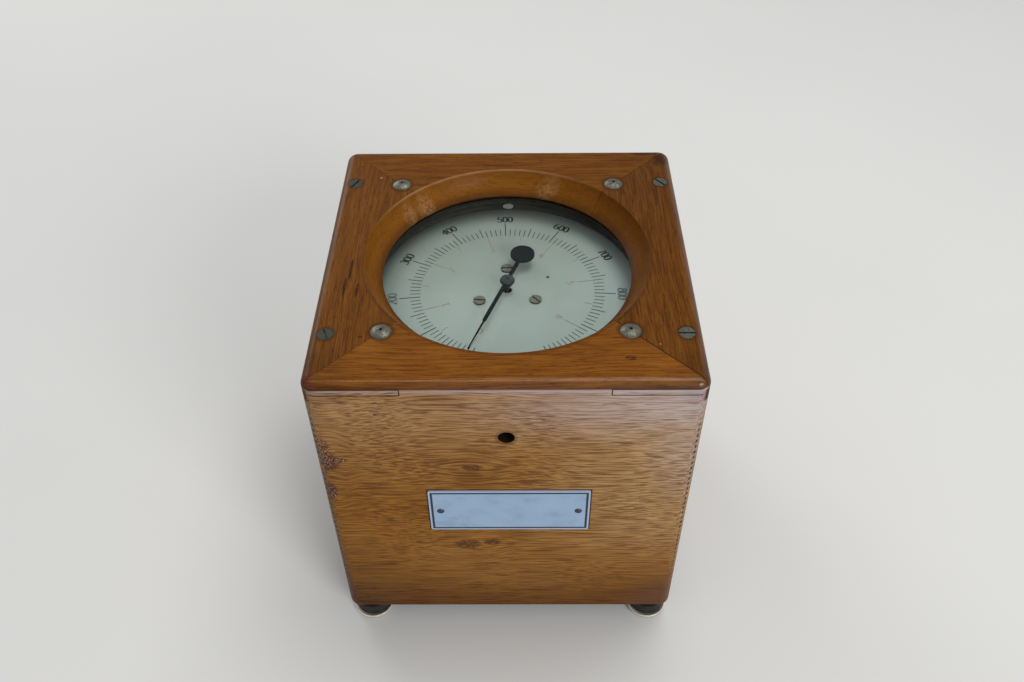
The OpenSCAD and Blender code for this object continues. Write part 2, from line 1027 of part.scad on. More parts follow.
module dial_plate() {
  color([0.74, 0.77, 0.72])
    difference() {
      translate([0, 0, dial_bottom])
        cylinder(h = dial_t, r = dial_r, $fn = 128);
      translate([0, 0, dial_bottom - eps]) {
        cylinder(h = dial_t + 2*eps, r = dial_hole_r);
        translate([dial_dot[0], dial_dot[1], 0])
          cylinder(h = dial_t + 2*eps, r = dial_dot_r);
        for (a = dial_screw_angles)
          rotate([0, 0, a])
            translate([dial_screw_pcr, 0, 0])
              cylinder(h = dial_t + 2*eps, r = dial_screw_r + fit);
      }
    }
}

module dial_screws() {
  color(steel)
    for (i = [0 : 2])
      rotate([0, 0, dial_screw_angles[i]])
        translate([dial_screw_pcr, 0, dial_top])
          rotate([0, 0, dial_slots[i] - dial_screw_angles[i]])
            cheese_screw(dial_head_r, dial_head_h, dial_screw_r, dial_screw_length);
}

module upper_bridge() {
  color(brass)
    difference() {
      union() {
        translate([0, 0, bar_z])
          linear_extrude(height = bar_t)
            rounded_square(2*bar_half, 2*bar_y, bar_y/2);
        for (x = [-1, 1])
          translate([x*bar_foot_x, 0, plate_top])
            cylinder(h = bar_z - plate_top + bar_t/2, r = bar_foot_r);
      }
      translate([0, 0, bar_z - eps])
        cylinder(h = bar_t + 2*eps, r = bush_r + fit);
      for (x = [-1, 1])
        translate([x*bar_foot_x, 0, plate_top - eps])
          cylinder(h = bar_z + bar_t - plate_top + 2*eps, r = bar_screw_r + fit);
    }
}

module lower_bridge() {
  color(brass)
    difference() {
      union() {
        span([-bridge_x - bridge_t, -bridge_y, bridge_z],
             [bridge_x + bridge_t, bridge_y, bridge_z + bridge_t]);
        for (x = [-1, 1])
          translate([x*(bridge_x + bridge_t/2), 0, (bridge_z + plate_z)/2])
            cube([bridge_t, 2*bridge_y, plate_z - bridge_z], center = true);
        for (x = [-1, 1])
          translate([x*(bridge_x + bridge_foot/2), 0, plate_z - bridge_t/2])
            cube([bridge_foot, 2*bridge_y, bridge_t], center = true);
      }
      translate([0, 0, bridge_z - eps])
        cylinder(h = bridge_t + 2*eps, r = bush_r + fit);
      for (x = [-1, 1])
        translate([x*bridge_foot_x, 0, plate_z - bridge_t - eps])
          cylinder(h = bridge_t + 2*eps, r = bridge_screw_r + fit);
    }
}

module bridge_screws() {
  color(steel)
    for (x = [-1, 1]) {
      translate([x*bar_foot_x, 0, bar_z + bar_t])
        cheese_screw(bar_head_r, small_head_h, bar_screw_r, bar_z + bar_t - plate_z);
      translate([x*bridge_foot_x, 0, plate_z - bridge_t])
        mirror([0, 0, 1])
          cheese_screw(bridge_head_r, small_head_h, bridge_screw_r, bridge_t + plate_t);
    }
}

module upper_bearing() {
  color([0.85, 0.72, 0.40])
    difference() {
      union() {
        translate([0, 0, lever_z - bush_flange_t])
          cylinder(h = bush_flange_t, r = bush_flange_r);
        translate([0, 0, lever_z - bush_flange_t/2])
          cylinder(h = bar_z + bar_t - lever_z + bush_flange_t, r = bush_r);
        translate([0, 0, bar_z + bar_t])
          cylinder(h = bush_collar_t, r = bush_flange_r);
      }
      translate([0, 0, lever_z - eps])
        cylinder(h = 3*bar_t + 5*eps, r = spindle_r + spindle_fit);
    }
}

module lower_bearing() {
  color([0.85, 0.72, 0.40])
    difference() {
      translate([0, 0, bridge_z - jewel_below])
        cylinder(h = spindle_z - jewel_gap - bridge_z + jewel_below, r = bush_r);
      translate([0, 0, spindle_z - pivot_length - 0.1])
        cylinder(h = pivot_length + eps, r = pivot_r + pivot_fit);
      translate([-bush_r - eps, -slot_w/2, bridge_z - jewel_below - eps])
        cube([2*bush_r + 2*eps, slot_w, 2*eps]);
    }
}

module lower_bearing_nut() {
  color(brass)
    difference() {
      translate([0, 0, bridge_z - lock_nut_t])
        cylinder(h = lock_nut_t, r = lock_nut_r, $fn = 6);
      translate([0, 0, bridge_z - lock_nut_t - eps])
        cylinder(h = lock_nut_t + 2*eps, r = bush_r + fit);
    }
}

module voltage_core() {
  top = plate_z;
  under = disc_z - core_gap;
  over = disc_z + disc_t + core_gap;
  color([0.30, 0.31, 0.33])
    difference() {
      along_x(2*core_half)
        polygon([[core_back, foot_yoke_z], [core_back + core_leg, foot_yoke_z],
                 [core_back + core_leg, under - tongue_t], [pole_front, under - tongue_t],
                 [pole_front, under], [core_back + core_leg, under],
                 [core_back + core_leg, top - yoke_h], [pole_back, top - yoke_h],
                 [pole_back, over], [pole_front, over], [pole_front, top], [core_back, top]]);
      for (y = [core_back + core_leg/2, (pole_front + pole_back)/2])
        translate([0, y, top - core_hole_depth])
          cylinder(h = core_hole_depth + eps, r = bolt_shank_r + fit);
      translate([0, core_back + core_leg + eps, foot_yoke_z + foot_yoke_h/2])
        rotate([90, 0, 0])
          cylinder(h = core_leg + 2*eps, r = bolt_shank_r + fit);
    }
}

// Winding round an upright leg, from its inner size and the wall of the winding
module winding(x, y, h) {
  linear_extrude(height = h)
    difference() {
      rounded_square(x + 2*coil_wall, y + 2*coil_wall, coil_wall - 1);
      square([x + 2*fit, y + 2*fit], center = true);
    }
}

module voltage_coil() {
  pole = pole_front - pole_back;
  low = disc_z + disc_t + core_gap + coil_clear;
  color([0.55, 0.20, 0.12])
    translate([0, (pole_front + pole_back)/2, low])
      winding(2*core_half, pole, plate_z - yoke_h - low - coil_clear/2);
}

module current_core() {
  top = disc_z - core_gap;
  side = (pole_front + pole_back)/2;
  color([0.30, 0.31, 0.33])
    difference() {
      union() {
        translate([0, side, 0])
          along_y(pole_front - pole_back)
            polygon([[-leg_outer, foot_yoke_z], [leg_outer, foot_yoke_z], [leg_outer, top],
                     [leg_inner, top], [leg_inner, foot_yoke_z + foot_yoke_h],
                     [-leg_inner, foot_yoke_z + foot_yoke_h], [-leg_inner, top], [-leg_outer, top]]);
        span([-core_half, core_back + core_leg, foot_yoke_z], [core_half, side, foot_yoke_z + foot_yoke_h]);
      }
      translate([0, side, foot_yoke_z + foot_yoke_h/2])
        rotate([90, 0, 0])
          cylinder(h = side - core_back, r = bolt_shank_r + fit);
    }
}

module current_coils() {
  pole = pole_front - pole_back;
  low = foot_yoke_z + foot_yoke_h + coil_clear;
  color(copper)
    for (x = [-1, 1])
      translate([x*(leg_inner + leg_outer)/2, (pole_front + pole_back)/2, low])
        winding(leg_outer - leg_inner, pole, current_coil_h);
}

module core_screws() {
  color(steel)
    for (y = [core_back + core_leg/2, (pole_front + pole_back)/2])
      translate([0, y, plate_top])
        cheese_screw(core_head_r, small_head_h, bolt_shank_r, plate_t + core_bite);
}

module core_bolt() {
  side = (pole_front + pole_back)/2;
  color(steel)
    translate([0, core_back, foot_yoke_z + foot_yoke_h/2])
      rotate([90, 0, 0])
        cheese_screw(plate_head_r, core_bolt_head_h, bolt_shank_r, side - core_back - core_bolt_short);
}

module brake_magnet() {
  low = disc_z - magnet_gap - magnet_limb;
  high = disc_z + disc_t + magnet_gap + magnet_limb;
  color([0.45, 0.12, 0.10])
    difference() {
      along_x(2*magnet_half)
        polygon([[magnet_front, low], [magnet_back - magnet_bevel, low], [magnet_back, low + magnet_bevel],
                 [magnet_back, high], [magnet_front, high], [magnet_front, high - magnet_limb],
                 [magnet_slot_y, high - magnet_limb], [magnet_slot_y, low + magnet_limb],
                 [magnet_front, low + magnet_limb]]);
      for (x = [-1, 1])
        translate([x*magnet_bolt_x, block_middle, high - core_hole_depth])
          cylinder(h = core_hole_depth + eps, r = bolt_shank_r + fit);
    }
}

module magnet_block() {
  low = disc_z + disc_t + magnet_gap + magnet_limb;
  color(brass)
    difference() {
      span([-magnet_half, block_front, low], [magnet_half, magnet_back, plate_z]);
      for (x = [-1, 1])
        translate([x*magnet_bolt_x, block_middle, low - eps])
          cylinder(h = plate_z - low + 2*eps, r = bolt_shank_r + fit);
    }
}

module magnet_bolts() {
  low = disc_z + disc_t + magnet_gap + magnet_limb;
  color(steel)
    for (x = [-1, 1])
      translate([x*magnet_bolt_x, block_middle, plate_top])
        cheese_screw(core_head_r, small_head_h, bolt_shank_r, plate_top - low + core_bite);
}

module stop_peg() {
  color(steel)
    rotate([0, 0, stop_start + stop_spread + stop_margin])
      translate([stop_at, 0, plate_top])
        cylinder(h = peg_h, r = stop_r);
}

module zero_lever() {
  color(steel) {
    difference() {
      union() {
        translate([0, 0, lever_z])
          cylinder(h = lever_t, r = lever_ring_r);
        span([-lever_w/2, -lever_end, lever_z], [lever_w/2, -4, lever_z + lever_t]);
        span([-lever_w, -lever_end, stop_z], [lever_w, -lever_end + lever_t, lever_z + lever_t]);
        translate([0, -lever_stud_at, spring_z - 0.2])
          cylinder(h = lever_z - spring_z + 0.7, r = lever_stud_r);
      }
      translate([0, 0, lever_z - eps])
        cylinder(h = lever_t + 2*eps, r = bush_r + fit);
      span([-lever_notch, -lever_end - eps, stop_z - eps],
           [lever_notch, -lever_end + lever_t + eps, lever_z - lever_notch_up]);
    }
  }
}

// Points along one side of the spiral, the radius growing steadily with the angle
function spiral(turns, offset, steps) = [
  for (i = [0 : turns*steps])
    let (t = i/(turns*steps),
         a = -90 - 360*turns*(1 - t),
         r = spring_in + (spring_out - spring_in)*t + offset)
    [r*cos(a), r*sin(a)]
];

module hairspring() {
  inside = spiral(spring_turns, 0, spring_steps);
  outside = spiral(spring_turns, spring_w, spring_steps);
  color([0.72, 0.55, 0.28])
    translate([0, 0, spring_z])
      linear_extrude(height = spring_h)
        polygon(concat(inside, [for (i = [len(outside) - 1 : -1 : 0]) outside[i]]));
}

module spindle() {
  color(steel) {
    translate([0, 0, spindle_z])
      cylinder(h = spindle_top - spindle_z, r = spindle_r);
    translate([0, 0, spindle_z - pivot_length + pivot_r])
      cylinder(h = pivot_length, r = pivot_r);
    translate([0, 0, spindle_z - pivot_length + pivot_r])
      sphere(pivot_r);
  }
}

module induction_disc() {
  color([0.80, 0.81, 0.82])
    translate([0, 0, disc_z])
      difference() {
        cylinder(h = disc_t, r = disc_r, $fn = 96);
        translate([0, 0, -eps])
          cylinder(h = disc_t + 2*eps, r = disc_hub_r + fit);
      }
}

module disc_hub() {
  color(brass)
    translate([0, 0, disc_z])
      rotate_extrude()
        polygon([[spindle_r, -disc_hub_low], [disc_hub_r, -disc_hub_low], [disc_hub_r, disc_t],
                 [disc_flange_r, disc_t], [disc_flange_r, disc_t + disc_flange_h],
                 [disc_hub_r, disc_t + disc_flange_h], [disc_hub_r, disc_hub_high],
                 [spindle_r, disc_hub_high]]);
}

module stop_arm() {
  color(steel)
    translate([0, 0, stop_z])
      difference() {
        union() {
          cylinder(h = stop_t, r = stop_boss_r);
          rotate([0, 0, stop_start])
            translate([0, -stop_arm_w/2, 0])
              cube([stop_arm_r, stop_arm_w, stop_t]);
        }
        translate([0, 0, -eps])
          cylinder(h = stop_t + 2*eps, r = spindle_r);
      }
}

module spring_collet() {
  color(brass)
    translate([0, 0, stop_z + stop_t])
      rotate_extrude()
        polygon([[spindle_r, 0], [collet_r, 0], [collet_r, collet_h], [spindle_r, collet_h]]);
}

// Pointer blade and tail, drawn along +X before it is turned to its rest
module pointer() {
  color(black)
    rotate([0, 0, 90 - pointer_rest])
      translate([0, 0, pointer_z])
        linear_extrude(height = pointer_t)
          difference() {
            union() {
              circle(hub_r);
              polygon([[0, blade_w/2], [0, -blade_w/2], [blade_end, -blade_w/2],
                       [needle_start, -needle_w/2], [pointer_tip, -tip_w/2],
                       [pointer_tip, tip_w/2], [needle_start, needle_w/2],
                       [blade_end, blade_w/2]]);
              translate([-weight_at, -tail_w/2])
                square([weight_at, tail_w]);
            }
            circle(hub_neck_r);
          }
}

module pointer_hub() {
  low = pointer_z - hub_boss_h;
  high = pointer_z + pointer_t;
  color(black)
    rotate_extrude()
      polygon([[spindle_r, low], [hub_boss_r, low], [hub_boss_r, pointer_z], [hub_neck_r, pointer_z],
               [hub_neck_r, high], [hub_r, high], [hub_r - hub_bevel, high + hub_cap_h],
               [spindle_r, high + hub_cap_h]]);
}

module counterweight() {
  color(black)
    rotate([0, 0, 90 - pointer_rest])
      difference() {
        translate([-weight_at, 0, pointer_z - weight_side])
          cylinder(h = pointer_t + 2*weight_side, r = weight_r);
        translate([-weight_at, -tail_w/2, pointer_z])
          cube([weight_at, tail_w, pointer_t]);
      }
}

front_wall();
back_wall();
left_wall();
right_wall();
bottom_board();
bottom_screws();
frame_front_rail();
frame_back_rail();
frame_left_rail();
frame_right_rail();
frame_slips();
frame_screws();
pillar_bolts();
window_glass();
glass_ring();
glass_ring_screws();
dial_shroud();
shroud_button();
nameplate();
nameplate_pins();
foot_cups();
foot_buffers();
foot_screws();
terminal_plate();
terminal_sockets();
terminal_nuts();
terminal_screws();
lead_wires();
movement_plate();
movement_pillars();
movement_screws();
dial_posts();
dial_plate();
dial_screws();
upper_bridge();
lower_bridge();
bridge_screws();
upper_bearing();
lower_bearing();
lower_bearing_nut();
voltage_core();
voltage_coil();
current_core();
current_coils();
core_screws();
core_bolt();
brake_magnet();
magnet_block();
magnet_bolts();
stop_peg();
zero_lever();
hairspring();
spindle();
induction_disc();
disc_hub();
stop_arm();
spring_collet();
pointer();
pointer_hub();
counterweight();
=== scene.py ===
# Looks of a bench wattmeter in an oak case: wood, dial printing, turned fittings, lamps and camera.
import math

import bmesh
import bpy
import numpy as np
from mathutils import Matrix, Vector


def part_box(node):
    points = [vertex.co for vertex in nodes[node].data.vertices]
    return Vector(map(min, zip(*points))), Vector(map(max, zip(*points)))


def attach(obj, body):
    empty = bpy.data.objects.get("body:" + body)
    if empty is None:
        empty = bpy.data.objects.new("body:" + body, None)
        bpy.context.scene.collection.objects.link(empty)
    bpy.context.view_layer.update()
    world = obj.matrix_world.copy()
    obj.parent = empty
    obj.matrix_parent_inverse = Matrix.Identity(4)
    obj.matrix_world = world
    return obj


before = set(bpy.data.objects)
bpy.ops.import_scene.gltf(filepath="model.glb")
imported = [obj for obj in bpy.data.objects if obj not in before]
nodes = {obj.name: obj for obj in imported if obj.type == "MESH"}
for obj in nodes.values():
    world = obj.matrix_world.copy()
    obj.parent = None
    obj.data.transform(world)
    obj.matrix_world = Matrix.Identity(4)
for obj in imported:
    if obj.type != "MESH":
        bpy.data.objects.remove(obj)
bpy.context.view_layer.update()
mm = 0.001  # sizes below are in millimetres unless a line says metres
print("frame loaded with", len(nodes), "nodes")


def levels(node):  # lowest and highest corner of a node, in millimetres
    low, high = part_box(node)
    return np.array(low)/mm, np.array(high)/mm


halfCase = levels("frame_right_rail")[1][0]
seamLevel, topLevel = (corner[2] for corner in levels("frame_front_rail"))
baseLevel = levels("front_wall")[0][2]
slipLow, slipHigh = (corner[2] for corner in levels("frame_slips"))
dialLevel = levels("dial_plate")[1][2]


def addObject(name, data):  # a new object in the scene
    obj = bpy.data.objects.new(name, data)
    bpy.context.scene.collection.objects.link(obj)
    return obj


# Camera

cameraLook = {
    "at": (0.00666, -0.37348, 0.50181),  # metres
    "yaw": -0.706,  # degrees to the right of straight back
    "pitch": 44.60,  # degrees down
    "roll": -0.693,
    "focal": 966.2,  # in pixels of the picture
    "pictureWide": 1024,
    "filmWide": 36.0,
    "nearest": 0.01,  # metres
}


def makeCamera(look):
    # forward from yaw and pitch; right and up turned about it by the roll
    yaw, pitch, roll = (math.radians(look[key]) for key in ("yaw", "pitch", "roll"))
    forward = Vector((math.sin(yaw)*math.cos(pitch), math.cos(yaw)*math.cos(pitch), -math.sin(pitch)))
    level = Vector((math.cos(yaw), -math.sin(yaw), 0.0))
    upright = level.cross(forward)
    right = math.cos(roll)*level + math.sin(roll)*upright
    up = -math.sin(roll)*level + math.cos(roll)*upright
    data = bpy.data.cameras.new("camera")
    data.sensor_width = look["filmWide"]
    data.lens = look["focal"]/look["pictureWide"]*look["filmWide"]
    data.clip_start = look["nearest"]
    camera = addObject("camera", data)
    turn = Matrix((right, up, -forward)).transposed().to_4x4()
    camera.matrix_world = Matrix.Translation(look["at"]) @ turn
    bpy.context.scene.camera = camera


makeCamera(cameraLook)
print("camera placed")


# Shader maths

class Num:
    # one number in a shader: Python arithmetic on it adds Math nodes
    def __init__(self, finish, socket):
        self.finish = finish
        self.socket = socket

    def math(self, operation, *others):
        return self.finish.math(operation, self, *others)

    def __add__(self, other):
        return self.math("ADD", other)

    __radd__ = __add__

    def __sub__(self, other):
        return self.math("SUBTRACT", other)

    def __rsub__(self, other):
        return self.finish.math("SUBTRACT", other, self)

    def __mul__(self, other):
        return self.math("MULTIPLY", other)

    __rmul__ = __mul__

    def __truediv__(self, other):
        return self.math("DIVIDE", other)

    def __pow__(self, other):
        return self.math("POWER", other)

    def __abs__(self):
        return self.math("ABSOLUTE")

    def step(self, low, high):  # 0 at low, 1 at high, smooth between; falls where low is above high
        made = self.finish.node("MapRange", {"interpolation_type": "SMOOTHSTEP"},
                                {"Value": self, "From Min": low, "From Max": high})
        return Num(self.finish, made.outputs["Result"])

    def ridge(self, centre, width):  # 1 at the centre, 0 from width away
        return abs(self - centre).step(width, width*0.35)

    def held(self):  # kept between 0 and 1
        return self.math("MINIMUM", 1.0).math("MAXIMUM", 0.0)


class Finish:
    # the nodes of a material, or of the world, while they are being put together
    def __init__(self, name, holders=bpy.data.materials):
        self.made = holders.new(name)
        self.made.use_nodes = True
        self.tree = self.made.node_tree
        self.tree.nodes.clear()

    def plug(self, socket, value):
        if isinstance(value, Num):
            value = value.socket
        if isinstance(value, bpy.types.NodeSocket):
            self.tree.links.new(value, socket)
        elif socket.type == "RGBA" and len(value) == 3:
            socket.default_value = (*value, 1.0)
        else:
            socket.default_value = value

    def node(self, kind, settings=None, sockets=None):  # any node, from its type, settings and sockets
        made = self.tree.nodes.new("ShaderNode" + kind)
        for key, value in (settings or {}).items():
            setattr(made, key, value)
        for key, value in (sockets or {}).items():
            self.plug(made.inputs[key], value)
        return made

    def math(self, operation, *values):
        made = self.node("Math", {"operation": operation}, dict(enumerate(values)))
        return Num(self, made.outputs[0])

    def place(self):  # where the surface is on the object, in millimetres
        point = self.node("TexCoord").outputs["Object"]
        scaled = self.node("VectorMath", {"operation": "SCALE"}, {0: point, "Scale": 1/mm})
        split = self.node("SeparateXYZ", sockets={0: scaled.outputs[0]})
        return [Num(self, split.outputs[i]) for i in range(3)]

    def noise(self, x, y, z, detail=2.0, roughness=0.5):
        point = self.node("CombineXYZ", sockets={0: x, 1: y, 2: z}).outputs[0]
        sockets = {"Vector": point, "Scale": 1.0, "Detail": detail, "Roughness": roughness}
        made = self.node("TexNoise", sockets=sockets)
        return Num(self, made.outputs[0])

    def even(self, place, size, detail=2.0, roughness=0.5):  # noise of one grain size in all directions
        return self.noise(*(part/size for part in place), detail, roughness)

    def mix(self, share, first, second):  # the node keeps the share between 0 and 1
        made = self.node("Mix", {"data_type": "RGBA"}, {0: share, 6: first, 7: second})
        return made.outputs[2]

    def tint(self, share, colour, by):  # colour multiplied by another
        settings = {"data_type": "RGBA", "blend_type": "MULTIPLY"}
        return self.node("Mix", settings, {0: share, 6: colour, 7: by}).outputs[2]

    def surface(self, colour, rough, others=None, height=None, depth=0.1, strength=1.0):
        # others: more sockets of the shader; depth of the relief in millimetres
        sockets = {"Base Color": colour, "Roughness": rough, **(others or {})}
        shader = self.node("BsdfPrincipled", sockets=sockets)
        if height is not None:
            bump = self.node("Bump", sockets={"Strength": strength, "Distance": depth*mm, "Height": height})
            self.plug(shader.inputs["Normal"], bump.outputs[0])
        self.node("OutputMaterial", sockets={0: shader.outputs[0]})
        return self.made


def spot(x, y, centreX, centreY, wide, tall):  # soft round mask: 1 in the middle, 0 outside an ellipse
    return (((x - centreX)/wide)**2 + ((y - centreY)/tall)**2).step(1.0, 0.0)


def total(masks):  # the strongest of several masks at each point
    result = masks[0]
    for mask in masks[1:]:
        result = result.math("MAXIMUM", mask)
    return result


def frontFace(y):  # 1 on the front of the case, 0 a little behind it
    return y.step(-halfCase + 4.0, -halfCase + 1.0)


def uprightEdges(x, y, width):  # 1 on the upright edges of the case, 0 at this width from them
    return abs(x).step(halfCase - width, halfCase - 1)*abs(y).step(halfCase - width, halfCase - 1)


def offPlate(x, z):  # millimetres from the edge of the nameplate, negative on it
    low, high = levels("nameplate")
    middle, half = (low + high)/2, (high - low)/2
    return (abs(x - middle[0]) - half[0]).math("MAXIMUM", abs(z - middle[2]) - half[2])


# Wood: short dark dashes and pores over soft streaks, all drawn out along the grain

caseWood = {
    "light": (0.400, 0.177, 0.029),
    "middle": (0.245, 0.100, 0.012),
    "line": (0.42, 0.33, 0.28),  # a dark line keeps this share of each colour
    "pore": (0.42, 0.34, 0.32),
    "lineLong": 24.0,
    "lineWide": 0.38,
    "dashLong": 10.0,
    "dashWide": 0.42,
    "streakWide": 0.78,
    "waveLong": 85.0,
    "waveHigh": 8.0,
    "lineShare": 1.10,
    "dashShare": 0.32,
    "streakShare": 0.75,
    "cloudShare": 0.70,
    "poreShare": 0.60,
    "roughness": 0.42,
    "gloss": 0.09,
    "coat": 0.05,
}
frameWood = {
    "light": (0.262, 0.095, 0.010),
    "middle": (0.178, 0.058, 0.005),
    "line": (0.60, 0.48, 0.40),
    "pore": (0.36, 0.28, 0.25),
    "lineLong": 30.0,
    "lineWide": 0.60,
    "dashLong": 8.0,
    "dashWide": 0.55,
    "streakWide": 2.3,
    "waveLong": 90.0,
    "waveHigh": 5.0,
    "lineShare": 0.72,
    "dashShare": 0.50,
    "streakShare": 1.90,
    "cloudShare": 0.90,
    "poreShare": 1.20,
    "roughness": 0.42,
    "gloss": 0.035,
    "coat": 0.02,
}
grainShape = {  # the same for every wood
    "waveWide": 40.0,
    "cloudLong": 50.0,
    "cloudWide": 18.0,
    "cloudHigh": 12.0,
    "streakLong": 26.0,
    "poreLong": 4.2,
    "poreWide": 0.45,
    "knotPull": (3.0, 4.0),  # how many times its own size a knot bends the grain, across and up
    "coatRoughness": 0.16,
    "depth": 0.08,
    "relief": 0.6,
}


def frameTone(tone):  # the frame's wood, lighter or darker
    colours = {key: tuple(channel*tone for channel in frameWood[key]) for key in ("light", "middle")}
    return dict(frameWood, **colours)


boardWood = dict(caseWood, light=(0.170, 0.100, 0.045), middle=(0.110, 0.058, 0.025),
                 roughness=0.75, coat=0.0)
frontSeed = 3.1
frontKnots = [
    {"along": -16.5, "up": 137.9, "wide": 6.3, "tall": 3.6, "swirl": 0.5},
    {"along": -20.7, "up": 74.0, "wide": 8.5, "tall": 5.2, "swirl": 0.4},
    {"along": -8.5, "up": 76.0, "wide": 5.5, "tall": 3.4, "swirl": 0.3},
    {"along": -83.0, "up": 143.0, "wide": 5.0, "tall": 8.0, "swirl": 0.3},
    {"along": -85.5, "up": 121.0, "wide": 3.5, "tall": 7.0, "swirl": 0.2},
]


def boardGrain(finish, place, look, lie, seed, knots=(), paintedLight=None):
    # slow waves and knots bend the grain; streaks and cloud turn the light wood to the middle one, painted
    # light may lie over that, and lines, dashes and pores darken what is there, as strongly as the painted
    # light says
    x, y, z = place
    shape = grainShape
    along, across = (x, y) if lie == "x" else (y, x)
    up = z
    pullWide, pullTall = shape["knotPull"]
    for knot in knots:
        near = spot(along, up, knot["along"], knot["up"], knot["wide"]*pullWide, knot["tall"]*pullTall)
        up = up - (up - knot["up"])*near*knot["swirl"]
    wide = shape["waveWide"]
    wave = (finish.noise(along/look["waveLong"] + seed, across/wide, up/wide, 0.0) - 0.5)*look["waveHigh"]
    side, high = across + wave, up + wave
    cloud = finish.noise(along/shape["cloudLong"] + seed*2, side/shape["cloudWide"],
                         high/shape["cloudHigh"], 3.0, 0.6)
    wide = look["streakWide"]
    streak = finish.noise(along/shape["streakLong"], side/wide + seed, high/wide, 2.0, 0.55)
    wide = look["lineWide"]
    line = finish.noise(along/look["lineLong"], side/wide + seed, high/wide, 1.0, 0.5).step(0.42, 0.64)
    wide = look["dashWide"]
    dash = finish.noise(along/look["dashLong"] + seed, side/wide, high/wide, 2.0, 0.6).step(0.50, 0.68)
    wide = shape["poreWide"]
    pores = finish.noise(along/shape["poreLong"] + seed, side/wide, high/wide, 1.0).step(0.62, 0.72)
    tone = (streak - 0.5)*look["streakShare"] + (cloud - 0.5)*look["cloudShare"] + 0.5
    colour = finish.mix(tone, look["light"], look["middle"])
    strength = 1.0
    if paintedLight:
        colour, strength = paintedLight(finish, place, colour)
    mark = line*look["lineShare"]*(cloud*0.6 + streak*0.8 + 0.3) + dash*look["dashShare"]
    colour = finish.tint(mark*strength, colour, look["line"])
    colour = finish.tint(pores*(dash + 0.35)*look["poreShare"], colour, look["pore"])
    rough = look["roughness"] + (cloud - 0.5)*0.16 + pores*0.2
    return colour, rough, line*0.3 - pores*0.8 - dash*0.2


def woodFinish(name, look, lie, seed, marks=None, knots=(), facing=False, paintedLight=None):
    # lie: the axis that the grain runs along; marks: the function that adds the wear and painted light and
    # shade; facing: the part's front face shows the grain and the painted light of the front board
    finish = Finish(name)
    place = finish.place()
    colour, rough, height = boardGrain(finish, place, look, lie, seed, knots, paintedLight)
    if facing:
        x, y, z = place
        face = y.step(-halfCase + 1.6, -halfCase + 0.5)*z.step(topLevel - 3.6, topLevel - 4.8)
        front = boardGrain(finish, place, caseWood, "x", frontSeed, (), frontPaintedLight)[0]
        colour = finish.mix(face, colour, front)
    polish = 0.0
    if marks:
        colour, rough, polish = marks(finish, place, colour, rough)
    others = {"Specular IOR Level": look["gloss"], "Coat Weight": polish + look["coat"],
              "Coat Roughness": grainShape["coatRoughness"]}
    return finish.surface(colour, rough, others, height, grainShape["depth"], grainShape["relief"])


# Marks of use, painted light, painted sheen and painted shade on the case; a spot is its centre on the
# face, then half its width and half its height

# painted light and painted sheen on the front board
frontLightLook = {
    "gold": (0.520, 0.330, 0.150),
    "goldRight": 0.76,  # the most that the gold covers on the right, high up and in its low spot
    "goldUpper": 0.40,
    "goldLow": 0.10,
    "goldSpot": (12, 62, 85, 46),
    "paintedSheen": (0.520, 0.450, 0.460),
    "sheenLeft": 0.06,
    "sheenRight": 0.60,
    "edgeLeft": 0.20,
    "edgeRight": 0.34,
    "corner": 0.36,
    "cornerSpot": (94, 178, 40, 80),
    "boldSpot": (-45, 126, 75, 42),  # where the dark grain is boldest
    "boldRight": (70, 112, 45, 40),
    "bolder": 0.75,
    "fainter": 0.75,  # under the painted sheen
    "lowFainter": 0.25,
}
caseMarks = {
    "grimeAndShade": (0.045, 0.018, 0.009),
    "knotColour": (0.078, 0.027, 0.011),
    "wornRed": (0.095, 0.024, 0.016),
    "speckle": (0.380, 0.250, 0.180),
    "dashColour": (0.008, 0.004, 0.003),
    "paintedBoreShade": (0.006, 0.004, 0.003),
    "paintedLowShade": (0.49, 0.43, 0.43),
    "paintedLowLeftShade": (0.68, 0.67, 0.74),
    "lowRight": (0.115, 0.048, 0.022),
    "lowRightSpot": (88, 14, 34, 34),
    "wornSpots": [(-85.0, 147, 4.2, 15), (-85.3, 119, 3.0, 8), (-80, 144, 7, 2.5)],
    "darkSpots": [(-74.3, 31.3, 1.4, 1.4), (-44.8, 85.1, 2.6, 0.9), (73.8, 172.2, 4.5, 0.5),
                  (-44, 21.8, 14, 0.8)],
    "redSpot": (-58.5, 176.2, 1.0, 1.0),
    "fingerGap": 4.0,
    "fingerEnd": 88.7,
    "leftShift": 0.5,  # the dashes on the left edge lie further back
    "holeBelowTop": 36.0,
    "boreRadius": 4.1,
    "seamWide": 0.3,
    "plateShade": 1.1,
    "polish": 0.35,
}


